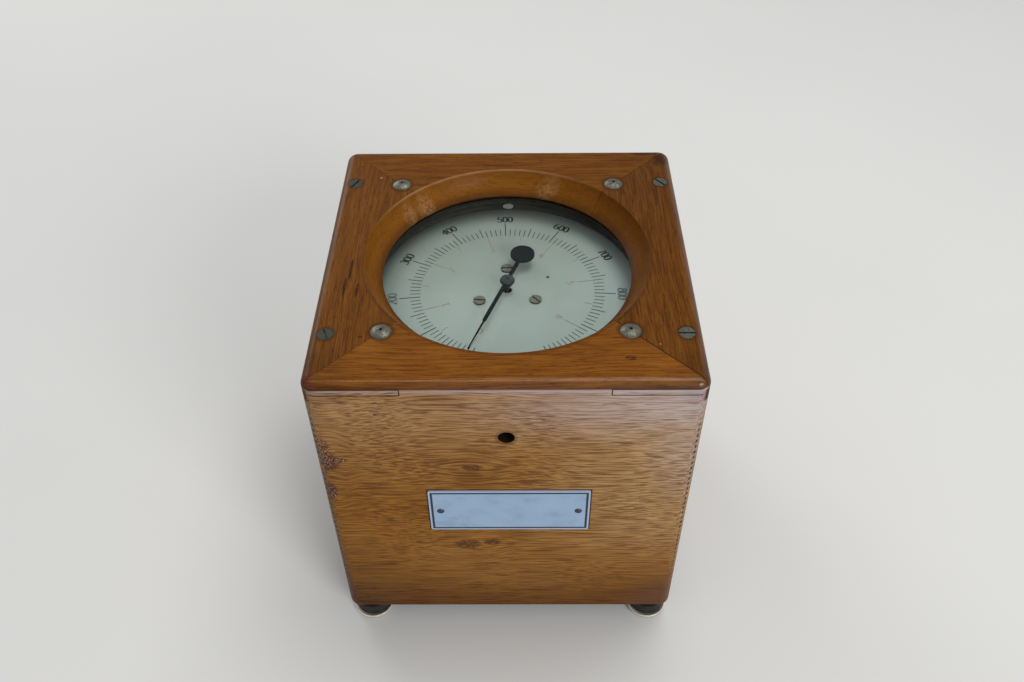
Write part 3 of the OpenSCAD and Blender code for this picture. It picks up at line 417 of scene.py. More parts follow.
def frontPaintedLight(finish, place, colour):
    # painted light: the front is painted a paler gold towards its upper right, with a lavender grey painted
    # sheen under the top edge; gives the colour and how strongly the dark grain shows through it
    x, y, z = place
    look = frontLightLook
    face = frontFace(y)
    cloud = finish.noise(x/30 + 4, 1.0, z/10, 3.0, 0.6)
    streak = finish.noise(x/13, 2.0, z/0.9, 2.0, 0.6)
    patch = cloud*0.7 + streak*1.3 + 0.1
    # painted light: a paler gold high up, towards the right and in one low spot
    right = x.step(-25, 80)*z.step(35, 115)*look["goldRight"]
    upper = z.step(105, 182)*look["goldUpper"]
    paintedLight = total([right, upper, spot(x, z, *look["goldSpot"])*look["goldLow"]])*patch*face
    colour = finish.mix(paintedLight, colour, look["gold"])
    # painted sheen: a lavender grey reflection under the top edge and in the upper right corner
    paintedSheen = z.step(topLevel - 50, topLevel - 10)*(x.step(-45, 88)*look["sheenRight"] + look["sheenLeft"])
    edge = z.step(topLevel - 9, topLevel - 5)*(x.step(-80, 80)*look["edgeRight"] + look["edgeLeft"])
    corner = spot(x, z, *look["cornerSpot"])*look["corner"]
    haze = (total([paintedSheen, edge, corner])*patch*face).held()
    bold = total([spot(x, z, *look["boldSpot"]), spot(x, z, *look["boldRight"])*0.3])
    strength = 1 + bold*look["bolder"] - haze*look["fainter"] - z.step(75, 35)*look["lowFainter"]
    return finish.mix(haze, colour, look["paintedSheen"]), strength


def edgeDashes(finish, place, look):
    # dark dashes down the sides, close to the front and back edges, where the corner fingers end
    x, y, z = place
    beat = ((z - baseLevel)/look["fingerGap"]).math("FRACT")
    dash = beat.step(0.16, 0.26)*beat.step(0.80, 0.70)
    broken = finish.noise(z/7, x/40, y/40).step(0.28, 0.40)
    left = x.step(5, -5)
    joint = abs(y).ridge(look["fingerEnd"] - left*look["leftShift"], left*0.3 + 0.62)
    joint = joint*abs(x).step(halfCase - 5.0, halfCase - 3.0)
    fade = z.step(topLevel - 14, topLevel - 40)*z.step(baseLevel + 15, baseLevel + 70)
    return dash*broken*joint*(fade*0.8 + 0.2)*(left*1.2 + 1)


def caseWear(finish, place, colour, rough):
    # grime gathers on the upright and lower edges and under the frame; painted shade darkens the wood low
    # down
    x, y, z = place
    look = caseMarks
    # painted shade: the boards darker towards the bottom
    lowShading = z.step(baseLevel + 55, baseLevel)
    colour = finish.tint(lowShading, colour, look["paintedLowShade"])
    cloud = finish.even(place, 16, 3.0, 0.6)
    edge = uprightEdges(x, y, 9)
    low = z.step(baseLevel + 7, baseLevel)
    dirt = total([edge*0.3, low*0.5])*cloud.step(0.30, 0.62)
    colour = finish.mix(dirt*0.6, colour, look["grimeAndShade"])
    seam = z.ridge(seamLevel, look["seamWide"])
    colour = finish.mix(seam*0.35, colour, look["grimeAndShade"])
    colour = finish.mix(edgeDashes(finish, place, look), colour, look["dashColour"])
    return colour, rough + dirt*0.12, uprightEdges(x, y, 3)*look["polish"]


def frontWear(finish, place, colour, rough):
    # knots, painted shade low on the left, rubbed red patches on the left edge, painted shade in the
    # bore, small marks and a painted shadow round the nameplate
    x, y, z = place
    look = caseMarks
    face = frontFace(y)
    colour, rough, polish = caseWear(finish, place, colour, rough)
    # painted shade: the front darker towards its lower left
    paintedLowLeftShade = x.step(-20, -90)*z.step(100, 15)
    colour = finish.tint(paintedLowLeftShade, colour, look["paintedLowLeftShade"])
    lowRight = spot(x, z, *look["lowRightSpot"])*0.75
    colour = finish.mix(lowRight*face, colour, look["lowRight"])
    speck = finish.noise(x/2.2, 0.0, z/1.3, 3.0, 0.7)
    for knot in frontKnots:
        core = spot(x, z, knot["along"], knot["up"], knot["wide"], knot["tall"])
        mask = (core*1.7*speck.step(0.32, 0.60)).held()*face
        colour = finish.mix(mask*0.88, colour, look["knotColour"])
    worn = total([spot(x, z, *mark) for mark in look["wornSpots"]])
    grit = finish.noise(x/0.9, 3.0, z/1.1, 2.0, 0.7)
    colour = finish.mix(worn*(speck.step(0.44, 0.56)*0.55 + 0.05)*face, colour, look["wornRed"])
    colour = finish.mix(worn*grit.step(0.50, 0.55)*1.5*face, colour, look["grimeAndShade"])
    colour = finish.mix(worn*grit.step(0.45, 0.40)*face, colour, look["speckle"])
    hole = (x**2 + (z - (topLevel - look["holeBelowTop"]))**2)**0.5
    radius = look["boreRadius"]
    colour = finish.mix(hole.ridge(radius + 0.5, 1.0)*0.35*face, colour, look["grimeAndShade"])
    # painted shade inside the bore
    bore = hole.step(radius + 0.25, radius)*y.step(-halfCase + 0.2, -halfCase + 0.8)
    colour = finish.mix(bore*0.96, colour, look["paintedBoreShade"])
    small = total([spot(x, z, *mark) for mark in look["darkSpots"]])
    colour = finish.mix(small.step(0.05, 0.5)*0.55*face, colour, look["grimeAndShade"])
    redSpot = spot(x, z, *look["redSpot"]).step(0.05, 0.4)*face
    colour = finish.mix(redSpot*0.7, colour, look["wornRed"])
    # painted shadow round the nameplate
    colour = finish.mix(offPlate(x, z).ridge(0.0, look["plateShade"])*0.95*face, colour, look["grimeAndShade"])
    return colour, rough, polish


# Marks, painted light, painted shade and painted highlights on the top frame; a spot is its centre seen
# from above, then half its width and half its depth

frameMarks = {
    "grimeAndShade": (0.020, 0.007, 0.003),
    "scuff": (0.330, 0.190, 0.095),
    "paintedEdgeHighlight": (0.340, 0.180, 0.090),
    "paintedBevelLight": (0.215, 0.080, 0.007),
    "paintedBevelShade": (0.82, 0.76, 0.60),
    "endShade": (0.80, 0.82, 0.95),
    "cornerRed": (0.085, 0.022, 0.014),
    "bevelOuter": 71.0,
    "bevelInner": 62.7,
    "studs": 57.0,
    "studDirt": (7.6, 4.6),  # the dirt round a head fades in between these two radii
    "screws": (82.3, 58.4),
    "screwDirt": (6.0, 3.4),
    "slipEnd": 46.5,
    "slipLine": 0.42,
    "roundOver": 4.5,
    "paintedSheen": (0.450, 0.370, 0.400),
    "scuffs": [(-44.2, 48.5, 7.0, 7.0), (22.0, 63.0, 8.0, 5.0), (-52.0, 41.0, 5.0, 6.0)],
    "cracks": [(-76.0, -13.0, 0.8, 9.5), (-77.6, -26.5, 0.8, 8.5), (-71.4, -28.5, 0.8, 6.0)],
    "polish": 0.45,
    "dents": [(-66.3, -60.4, 1.5, 0.9), (55.4, -74.3, 3.2, 2.0), (15.6, 51.9, 4.5, 1.2),
              (84.5, 79.0, 6.0, 8.0), (76.0, 86.0, 10.0, 3.0)],
    "specks": [(-68.7, 63.5, 0.9, 0.9), (69.5, -65.6, 0.55, 0.55)],
}


def frameWear(finish, place, colour, rough):
    # rings of dirt round studs and screws, two open mitres on the right, pale scuffs on the bevel, cracks
    # on the left, outlines of the slips on the sides; painted light and shade on the bevel and the outer
    # edges, painted highlights on the bevel's far rim and the front rounded edge, and a painted sheen under
    # that edge
    x, y, z = place
    look = frameMarks
    far = (x**2 + y**2)**0.5
    cloud = finish.even(place, 9, 3.0, 0.65)
    fine = finish.even(place, 1.3, 2.0, 0.7)
    ax, ay = abs(x), abs(y)
    most, least = total([ax, ay]), ax.math("MINIMUM", ay)
    bevel = far.step(look["bevelOuter"] + 0.3, look["bevelOuter"] - 0.3)
    # painted light: the bevel lighter than its rail; painted shade on the bevel's right-hand side
    colour = finish.mix(bevel*0.35, colour, look["paintedBevelLight"])
    colour = finish.tint(bevel*x.step(15, 62), colour, look["paintedBevelShade"])
    stud = (((ax - look["studs"])**2 + (ay - look["studs"])**2)**0.5).step(*look["studDirt"])
    screwX, screwY = look["screws"]
    screw = (((ax - screwX)**2 + (ay - screwY)**2)**0.5).step(*look["screwDirt"])
    rightSide = x.step(-5, 5)*(y.step(5, -5)*0.60 + 0.30) + 0.03
    mitre = abs(ax - ay).step(0.75, 0.15)*rightSide
    # painted shade along the bevel's outer edge on the near side and on the outer rounded edges
    edge = far.ridge(look["bevelOuter"] + 0.9, 1.0)*0.45*y.step(30, -60)
    # darker towards the bevel's inner edge
    lip = far.step(look["bevelInner"] + 4.5, look["bevelInner"] + 0.2)*0.75
    outer = most.step(halfCase - 4, halfCase)*0.3
    # dirt round the studs and screws and in the open mitres, with the painted shade above
    dirt = total([stud*0.8, screw*0.8, mitre, edge, lip, outer*z.step(topLevel - 4.6, topLevel - 3.6)])
    colour = finish.mix(dirt*(0.55 + cloud*0.7)*0.85, colour, look["grimeAndShade"])
    face = z.step(topLevel - 1.0, topLevel - 0.4)
    cracks = total([spot(x, y, *crack) for crack in look["cracks"]])
    dents = total([spot(x, y, *dent) for dent in look["dents"]])
    colour = finish.mix(cracks.step(0.10, 0.40)*fine.step(0.25, 0.5)*0.9*face, colour, look["grimeAndShade"])
    colour = finish.mix(dents.step(0.0, 0.7)*cloud.step(0.28, 0.55)*0.75, colour, look["grimeAndShade"])
    scuffs = total([spot(x, y, *scuff) for scuff in look["scuffs"]])
    smear = finish.noise(x/3 + 2, y/3, z/3, 3.0, 0.7).step(0.34, 0.60)
    rubbed = scuffs*bevel*(smear*0.22 + fine.step(0.50, 0.62)*0.22)
    colour = finish.mix(rubbed, colour, look["scuff"])
    specks = total([spot(x, y, *speck) for speck in look["specks"]])
    dust = finish.noise(x/0.7 + 5, y/0.7, z/0.7, 1.0).step(0.76, 0.80)*0.4
    colour = finish.mix(total([specks.step(0.1, 0.5)*0.7, dust])*face, colour, look["scuff"])
    # painted highlights: a pale line on the bevel's far rim and one along the front rounded edge
    rim = far.ridge(look["bevelOuter"], 0.45)*y.step(15, 52)*x.step(58, 8)*0.60
    nose = y.ridge(-halfCase + look["roundOver"] - 1.9, 0.45)*face*(fine + 0.2)
    colour = finish.mix(total([rim, nose*0.6])*(0.3 + cloud), colour, look["paintedEdgeHighlight"])
    ends = total([x.step(-60, -84), x.step(72, 88)])*y.step(-66, -74)
    farEnd = x.step(40, 70)*y.step(-10, 60)
    colour = finish.tint(total([ends, farEnd*0.7]), colour, look["endShade"])
    side = most.step(halfCase - 0.9, halfCase - 0.3)  # the four upright faces
    thin = look["slipLine"]
    slipEdge = total([z.ridge(slipLow, thin), z.ridge(slipHigh, thin)])
    corner = least.step(look["slipEnd"] - 0.2, look["slipEnd"] + 0.2)
    slipTip = least.ridge(look["slipEnd"], thin)*z.step(slipLow - 0.1, slipLow + 0.1)
    slipTip = slipTip*z.step(slipHigh + 0.1, slipHigh - 0.1)
    seam = z.ridge(seamLevel, 0.3)
    lines = total([slipEdge*corner, slipTip, seam*0.35])
    front = y.step(-halfCase + 2.6, -halfCase + 1.2)
    # painted sheen: a lavender grey line on the front face just under the rounded edge
    gleam = front*z.ridge(topLevel - 4.4, 1.0)*(x.step(-90, 60)*0.35 + 0.34)
    colour = finish.mix(gleam*(0.5 + cloud), colour, look["paintedSheen"])
    worn = x.step(-80, -89)*y.step(-80, -87)*z.step(topLevel - 5.5, topLevel - 4.0)
    colour = finish.mix(worn*0.7, colour, look["cornerRed"])
    colour = finish.mix(lines*side*0.9, colour, look["grimeAndShade"])
    polish = most.step(halfCase - 4.5, halfCase - 2)*z.step(topLevel - 6, topLevel - 3)
    polish = polish*(x.step(-85, 0)*0.8 + 0.2)*look["polish"]
    return colour, rough + scuffs*bevel*0.15 + dirt*0.1, polish


# Metals, paints and the rest

def metalFinish(name, look):
    # a turned or drawn metal: slow stains and fine scratches over one colour
    finish = Finish(name)
    place = finish.place()
    stain = finish.even(place, look.get("size", 3.0), 4.0, 0.65)
    fine = finish.even(place, 0.25, 2.0, 0.6)
    mask = stain.step(0.42, 0.68)*look.get("dirt", 0.5)
    clean = look["colour"]
    if "rightColour" in look:  # heads on the right are brighter
        clean = finish.mix(place[0].step(0, 60), clean, look["rightColour"])
    colour = finish.mix(mask, clean, look["stain"])
    rough = look["roughness"] + (stain - 0.5)*0.25 + (fine - 0.5)*0.12
    others = {"Metallic": look.get("metallic", 1.0) - mask*0.4}
    return finish.surface(colour, rough, others, stain*0.5 + fine*0.3, look.get("depth", 0.03), 0.6)


def studFinish(name, look):
    # domed heads: dull at the crown and the rim, worn paler between, with dark pits and a black middle hole
    finish = Finish(name)
    place = x, y, z = finish.place()
    away = frameMarks["studs"]
    far = ((abs(x) - away)**2 + (abs(y) - away)**2)**0.5  # from the middle of the nearest stud
    stain = finish.even(place, look["size"], 3.0, 0.7)
    fine = finish.even(place, 0.45, 2.0, 0.7)
    pits = finish.noise(x/1.1 + 7, y/1.1, z/1.1, 1.0).step(0.64, 0.70)
    rim = far.step(look["radius"] - 1.1, look["radius"] - 0.1)
    hole = far.step(look["hole"] + 0.35, look["hole"])
    crown = far.step(3.6, 1.4)
    tarnish = (stain.step(0.36, 0.66)*0.7 + rim*0.5 + crown*0.4).held()
    colour = finish.mix(tarnish, look["colour"], look["stain"])
    colour = finish.mix(total([pits*0.7, hole]), colour, look["dirt"])
    rough = look["roughness"] + (stain - 0.5)*0.3
    height = fine*0.5 - pits*0.6 + stain*0.5
    return finish.surface(colour, rough, {"Metallic": 0.85 - tarnish*0.35}, height, 0.10, 0.7)


def shroudFinish(name, look):
    # black sheet with dull patches, and grey dust just under the glass
    finish = Finish(name)
    x, y, z = finish.place()
    slow = finish.noise(x/9, y/9, z/3, 3.0, 0.6)
    speck = finish.noise(x/1.4, y/1.4, z/0.8, 2.0, 0.7)
    dust = z.step(look["dustFrom"], look["dustTo"])*speck.step(0.34, 0.66)
    colour = finish.mix(slow.step(0.35, 0.70), look["colour"], look["stain"])
    colour = finish.mix(dust, colour, look["dust"])
    rough = 0.62 + (slow - 0.5)*0.2
    return finish.surface(colour, rough, {"Specular IOR Level": 0.15}, speck, 0.05, 0.5)


def paintFinish(name, look):
    # paint, plastic or rubber: a slow change of tone and fine grain
    finish = Finish(name)
    place = finish.place()
    slow = finish.even(place, look.get("size", 6.0), 3.0, 0.6)
    fine = finish.even(place, look.get("grain", 0.4), 2.0)
    share = slow.step(0.30, 0.72)*look.get("mottle", 0.6)
    colour = finish.mix(share, look["colour"], look["stain"])
    rough = look["roughness"] + (slow - 0.5)*0.2 + (fine - 0.5)*0.1
    others = {"Specular IOR Level": look.get("gloss", 0.5)}
    return finish.surface(colour, rough, others, fine, look.get("depth", 0.04), 0.5)


def inkFinish(name, look):
    # black printing, worn unevenly; the figures on the lower half have faded most
    finish = Finish(name)
    x, y = finish.place()[:2]
    far = (x**2 + y**2)**0.5
    slow = finish.noise(x/look["size"], y/look["size"], 0.0, 3.0, 0.6)
    faded = far.step(*look["figuresFrom"])*y.step(*look["fadeBelow"])*look["fade"]
    share = total([slow.step(0.30, 0.72)*look["mottle"], faded])
    colour = finish.mix(share, look["colour"], look["stain"])
    rough = look["roughness"] + (slow - 0.5)*0.2
    return finish.surface(colour, rough, {"Specular IOR Level": look["gloss"]})


def windingFinish(name, look):
    # turns of wire lie round an upright leg: ridges repeat along Z at the wire's pitch
    finish = Finish(name)
    x, y, z = finish.place()
    turn = ((z/look["pitch"]).math("FRACT") - 0.5)*2
    ridge = (1 - turn*turn).math("MAXIMUM", 0.0)**0.5
    slow = finish.noise(x/5, y/5, z/1.2, 3.0)
    colour = finish.mix(ridge*0.7 + (slow - 0.5)*0.6, look["stain"], look["colour"])
    rough = look["roughness"] + (slow - 0.5)*0.2
    others = {"Metallic": look.get("metallic", 0.0)}
    return finish.surface(colour, rough, others, ridge, look["pitch"]*0.4, 0.8)


def laminatedFinish(name, look):
    # thin iron sheets stacked along X, each with its own shade
    finish = Finish(name)
    place = finish.place()
    sheet = place[0]/look["sheet"]
    shade = finish.noise(sheet.math("FLOOR")*7.3, 0.0, 0.0, 0.0)
    gap = sheet.math("FRACT").ridge(0.5, 0.5)
    slow = finish.even(place, 6, 3.0)
    colour = finish.mix(shade*0.7 + (slow - 0.5)*0.7, look["colour"], look["stain"])
    return finish.surface(colour, 0.45 + (slow - 0.5)*0.2, {"Metallic": 0.7}, gap, 0.05, 0.6)


def braidFinish(name, look):
    # waxed cotton: two sets of slanting threads over the wire
    finish = Finish(name)
    place = x, y, z = finish.place()
    first = ((x + y + z)/look["thread"]).math("FRACT").ridge(0.5, 0.5)
    second = ((x + y - z)/look["thread"]).math("FRACT").ridge(0.5, 0.5)
    weave = total([first, second])
    slow = finish.even(place, 9, 3.0)
    colour = finish.mix(weave*0.6 + (slow - 0.5)*0.5, look["stain"], look["colour"])
    return finish.surface(colour, 0.7 + (slow - 0.5)*0.2, None, weave, 0.15, 0.7)


def plateFinish(name, look):
    # brushed silver plate: level hairlines, patches of tarnish, a dark border and a paler margin
    finish = Finish(name)
    x, y, z = finish.place()
    inside = 0.0 - offPlate(x, z)
    border = inside.ridge(look["inset"], look["line"])
    hair = finish.noise(x/22, y/2, z/0.16, 3.0, 0.7)
    slow = finish.noise(x/11 + 3, y/11, z/7, 4.0, 0.65)
    colour = finish.mix(hair*0.5 + (slow - 0.5)*0.8, look["light"], look["dark"])
    colour = finish.mix(slow.step(0.50, 0.75)*0.25, colour, look["tarnish"])
    colour = finish.mix(inside.step(look["inset"], look["inset"] - 0.5)*0.7, colour, look["margin"])
    colour = finish.mix(border, colour, look["ink"])
    rough = 0.42 + (hair - 0.5)*0.2 + border*0.2
    return finish.surface(colour, rough, {"Metallic": 0.1}, hair, 0.02, 0.4)


def dialFinish(name, look):
    # matt enamel gone grey-green, with painted shade: paler towards the front and on the right, and a
    # painted shadow round the rim, most at the far left
    finish = Finish(name)
    x, y = finish.place()[:2]
    far = (x**2 + y**2)**0.5
    slow = finish.noise(x/18, y/18, 0.0, 3.0, 0.6)
    fine = finish.noise(x/0.5, y/0.5, 0.0, 2.0, 0.7)
    # painted shade: darker towards the back and a little on the left, paler on the right
    share = (slow - 0.5)*0.5 + y.step(-45, 45)*0.77 - x.step(20, 60)*0.52 + x.step(-15, -60)*0.05
    colour = finish.mix(share, look["light"], look["dark"])
    # painted shadow round the rim, strongest at the far left
    away = (y - x*0.7).step(-30, 55)  # 1 at the far left
    rim = far.step(50, look["edge"])*away*0.66 + far.step(62, look["edge"])*0.20
    colour = finish.mix(rim, colour, look["rim"])
    specks = finish.noise(x/0.8 + 9, y/0.8, 0.0, 1.0).step(0.74, 0.80)*0.35
    colour = finish.mix(specks, colour, look["speck"])
    rough = 0.62 + (fine - 0.5)*0.1
    return finish.surface(colour, rough, {"Specular IOR Level": 0.3}, fine, 0.02, 0.3)


def turnedFinish(name, look):
    # aluminium sheet turned on a lathe: fine rings round the spindle
    finish = Finish(name)
    place = finish.place()
    far = (place[0]**2 + place[1]**2)**0.5
    rings = finish.noise(far/0.22, 0.0, 0.0, 3.0, 0.7)
    slow = finish.even(place, 14, 3.0)
    colour = finish.mix(rings*0.6 + (slow - 0.5)*0.6, look["colour"], look["stain"])
    return finish.surface(colour, 0.28 + rings*0.2, {"Metallic": 1.0}, rings, 0.02, 0.6)


def glassFinish(name, look):
    # clear pane: mirrors more at a slant, and a little more where it is smeared
    finish = Finish(name)
    x, y, z = finish.place()
    smear = finish.noise(x/26, y/9, z/9, 4.0, 0.6).step(0.45, 0.8)
    slant = Num(finish, finish.node("LayerWeight", sockets={"Blend": 0.5}).outputs["Facing"])**look["rise"]
    clear = finish.node("BsdfTransparent", sockets={"Color": look["tint"]})
    mirror = finish.node("BsdfGlossy", sockets={"Color": look["haze"], "Roughness": 0.06 + smear*0.1})
    share = (slant*look["mirror"] + smear*look["smear"] + look["least"]).held()
    both = finish.node("MixShader", sockets={0: share, 1: clear.outputs[0], 2: mirror.outputs[0]})
    finish.node("OutputMaterial", sockets={0: both.outputs[0]})
    return finish.made


looks = {
    "steel": {"colour": (0.055, 0.055, 0.044), "stain": (0.022, 0.020, 0.014), "roughness": 0.50,
              "dirt": 0.7},
    "screwSteel": {"colour": (0.043, 0.046, 0.037), "rightColour": (0.086, 0.090, 0.072),
                   "stain": (0.012, 0.010, 0.007), "roughness": 0.55, "dirt": 0.8, "size": 0.9,
                   "depth": 0.06},
    "nickel": {"colour": (0.150, 0.150, 0.120), "stain": (0.050, 0.048, 0.036), "roughness": 0.46,
               "dirt": 0.75, "size": 1.6, "depth": 0.06},
    "stud": {"colour": (0.140, 0.138, 0.104), "stain": (0.036, 0.036, 0.027), "dirt": (0.012, 0.010, 0.007),
             "roughness": 0.46, "size": 1.3, "radius": 4.9, "hole": 0.75},
    "shroud": {"colour": (0.013, 0.015, 0.013), "stain": (0.026, 0.026, 0.021),
               "dust": (0.060, 0.070, 0.062), "dustFrom": 173.8, "dustTo": 177.8},
    "hub": {"colour": (0.006, 0.008, 0.008), "stain": (0.055, 0.062, 0.060), "roughness": 0.6, "size": 0.7,
            "gloss": 0.2, "mottle": 0.75, "grain": 0.5, "depth": 0.12},
    "brass": {"colour": (0.62, 0.43, 0.17), "stain": (0.30, 0.18, 0.07), "roughness": 0.33, "dirt": 0.5},
    "bronze": {"colour": (0.55, 0.36, 0.15), "stain": (0.25, 0.14, 0.06), "roughness": 0.35, "dirt": 0.5},
    "pinBlue": {"colour": (0.055, 0.068, 0.098), "stain": (0.012, 0.014, 0.02), "roughness": 0.5,
                "dirt": 0.7, "size": 1.2, "metallic": 0.7},
    "lacquer": {"colour": (0.010, 0.010, 0.009), "stain": (0.028, 0.022, 0.016), "roughness": 0.6,
                "gloss": 0.15},
    "pointer": {"colour": (0.004, 0.005, 0.006), "stain": (0.012, 0.014, 0.015), "roughness": 0.7,
                "gloss": 0.05, "size": 2.5},
    "ivory": {"colour": (0.26, 0.27, 0.25), "stain": (0.15, 0.15, 0.13), "roughness": 0.5, "size": 2.0},
    "cream": {"colour": (0.66, 0.60, 0.50), "stain": (0.40, 0.34, 0.26), "roughness": 0.45, "size": 4.0},
    "rubber": {"colour": (0.012, 0.011, 0.011), "stain": (0.035, 0.028, 0.024), "roughness": 0.7,
               "gloss": 0.3},
    "ebonite": {"colour": (0.014, 0.012, 0.011), "stain": (0.040, 0.030, 0.020), "roughness": 0.28},
    "magnet": {"colour": (0.30, 0.035, 0.025), "stain": (0.14, 0.018, 0.014), "roughness": 0.4,
               "depth": 0.1},
    "ink": {"colour": (0.014, 0.016, 0.016), "stain": (0.130, 0.152, 0.145), "roughness": 0.6,
            "size": 14.0, "mottle": 0.25, "gloss": 0.1, "fade": 0.8, "figuresFrom": (55.8, 56.6),
            "fadeBelow": (9.0, 1.0)},
    "redInk": {"colour": (0.200, 0.110, 0.055), "stain": (0.260, 0.230, 0.180), "roughness": 0.6,
               "size": 4.0},
    "coil": {"colour": (0.34, 0.09, 0.035), "stain": (0.10, 0.02, 0.01), "roughness": 0.38, "pitch": 0.5},
    "copper": {"colour": (0.66, 0.30, 0.16), "stain": (0.22, 0.08, 0.04), "roughness": 0.35, "pitch": 2.4,
               "metallic": 1.0},
    "iron": {"colour": (0.19, 0.20, 0.22), "stain": (0.07, 0.075, 0.085), "sheet": 0.5},
    "cotton": {"colour": (0.26, 0.09, 0.05), "stain": (0.09, 0.03, 0.02), "thread": 0.55},
    "plate": {"light": (0.350, 0.490, 0.675), "dark": (0.235, 0.345, 0.505),
              "tarnish": (0.155, 0.215, 0.305), "margin": (0.440, 0.550, 0.680),
              "ink": (0.010, 0.015, 0.040), "inset": 1.45, "line": 0.85},
    "dial": {"light": (0.310, 0.365, 0.338), "dark": (0.210, 0.246, 0.210), "rim": (0.055, 0.060, 0.050),
             "speck": (0.10, 0.11, 0.09), "edge": 69.5},
    "disc": {"colour": (0.78, 0.79, 0.80), "stain": (0.52, 0.53, 0.55)},
    "glass": {"rise": 4, "tint": (0.975, 0.985, 0.98), "haze": (0.85, 0.90, 0.92), "mirror": 0.35,
              "smear": 0.004, "least": 0.002},
}

boards = {  # grain direction and place in the noise; the front board is made by itself
    "backBoard": ("x", 7.7),
    "leftBoard": ("y", 11.9),
    "rightBoard": ("y", 17.3),
}
rails = {  # tone, grain direction and place in the noise; the four rails differ in depth
    "frontRail": (0.77, "x", 23.9),
    "backRail": (0.60, "x", 29.1),
    "leftRail": (0.54, "y", 31.7),
    "rightRail": (0.50, "y", 37.3),
    "slips": (0.60, "x", 41.1),
}
otherFinishes = {  # the looks that each function makes, with the name of the material
    metalFinish: {"steel": "dullSteel", "screwSteel": "screwSteel", "nickel": "oldNickel",
                  "brass": "turnedBrass", "bronze": "springBronze", "pinBlue": "blueSteel"},
    paintFinish: {"hub": "hubBlack", "lacquer": "blackLacquer", "pointer": "pointerBlack",
                  "ivory": "ivory", "cream": "agedCream", "rubber": "blackRubber",
                  "ebonite": "ebonite", "magnet": "magnetRed", "redInk": "redInk"},
    windingFinish: {"coil": "coilWire", "copper": "copperWire"},
    studFinish: {"stud": "studNickel"},
    shroudFinish: {"shroud": "shroudBlack"},
    inkFinish: {"ink": "blackInk"},
    laminatedFinish: {"iron": "coreIron"},
    braidFinish: {"cotton": "waxedCotton"},
    plateFinish: {"plate": "silverPlate"},
    dialFinish: {"dial": "dialEnamel"},
    turnedFinish: {"disc": "turnedAluminium"},
    glassFinish: {"glass": "windowGlass"},
}


def makeFinishes():
    made = {
        "frontBoard": woodFinish("frontBoard", caseWood, "x", frontSeed, frontWear, frontKnots,
                                 paintedLight=frontPaintedLight),
        "bottomBoard": woodFinish("bottomBoard", boardWood, "x", 47.7),
    }
    for name, (lie, seed) in boards.items():
        made[name] = woodFinish(name, caseWood, lie, seed, caseWear)
    for name, (tone, lie, seed) in rails.items():
        facing = name in ("frontRail", "slips")
        made[name] = woodFinish(name, frameTone(tone), lie, seed, frameWear, facing=facing)
    for make, names in otherFinishes.items():
        for look, name in names.items():
            made[look] = make(name, looks[look])
    return made


finishes = makeFinishes()
nodeFinish = {
    "frontBoard": ["front_wall"], "backBoard": ["back_wall"], "leftBoard": ["left_wall"],
    "rightBoard": ["right_wall"], "frontRail": ["frame_front_rail"], "backRail": ["frame_back_rail"],
    "leftRail": ["frame_left_rail"], "rightRail": ["frame_right_rail"], "slips": ["frame_slips"],
    "bottomBoard": ["bottom_board"],
    "screwSteel": ["frame_screws"],
    "steel": ["bottom_screws", "glass_ring_screws", "foot_screws", "movement_screws", "bridge_screws",
              "core_screws", "core_bolt", "magnet_bolts", "stop_peg", "spindle", "stop_arm"],
    "nickel": ["dial_screws", "terminal_screws", "zero_lever"], "stud": ["pillar_bolts"],
    "brass": ["terminal_sockets", "terminal_nuts", "movement_pillars", "dial_posts", "upper_bridge",
              "lower_bridge", "upper_bearing", "lower_bearing", "lower_bearing_nut", "magnet_block",
              "disc_hub", "spring_collet"],
    "bronze": ["hairspring"], "pinBlue": ["nameplate_pins"],
    "lacquer": ["glass_ring", "movement_plate"], "shroud": ["dial_shroud"],
    "pointer": ["pointer", "counterweight"], "hub": ["pointer_hub"],
    "ivory": ["shroud_button"], "cream": ["foot_cups"], "rubber": ["foot_buffers"],
    "ebonite": ["terminal_plate"], "magnet": ["brake_magnet"], "coil": ["voltage_coil"],
    "copper": ["current_coils"], "iron": ["voltage_core", "current_core"], "cotton": ["lead_wires"],
    "plate": ["nameplate"], "dial": ["dial_plate"], "disc": ["induction_disc"], "glass": ["window_glass"],
}
for finishName, names in nodeFinish.items():
    for name in names:
        nodes[name].data.materials.clear()
        nodes[name].data.materials.append(finishes[finishName])
print("finishes on", sum(len(names) for names in nodeFinish.values()), "nodes")


# Meshes

def makePiece(name, points, faces, finish, body, slotName):
    # a mesh object from points in millimetres and faces as rows of indices
    mesh = bpy.data.meshes.new(name)
    mesh.from_pydata((points*mm).tolist(), [], faces)
    shape = bmesh.new()
    shape.from_mesh(mesh)
    bmesh.ops.remove_doubles(shape, verts=shape.verts, dist=1e-7)
    bmesh.ops.recalc_face_normals(shape, faces=shape.faces)
    shape.to_mesh(mesh)
    shape.free()
    mesh.materials.append(finish)
    piece = addObject(name, mesh)
    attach(piece, body)


def tubeFaces(rings, sides):  # quads between neighbouring rings; the last side meets the first
    ring, side = np.meshgrid(np.arange(rings - 1)*sides, np.arange(sides), indexing="ij")
    after = (side + 1) % sides
    quads = [ring + side, ring + after, ring + sides + after, ring + sides + side]
    return np.stack(quads, -1).reshape(-1, 4)


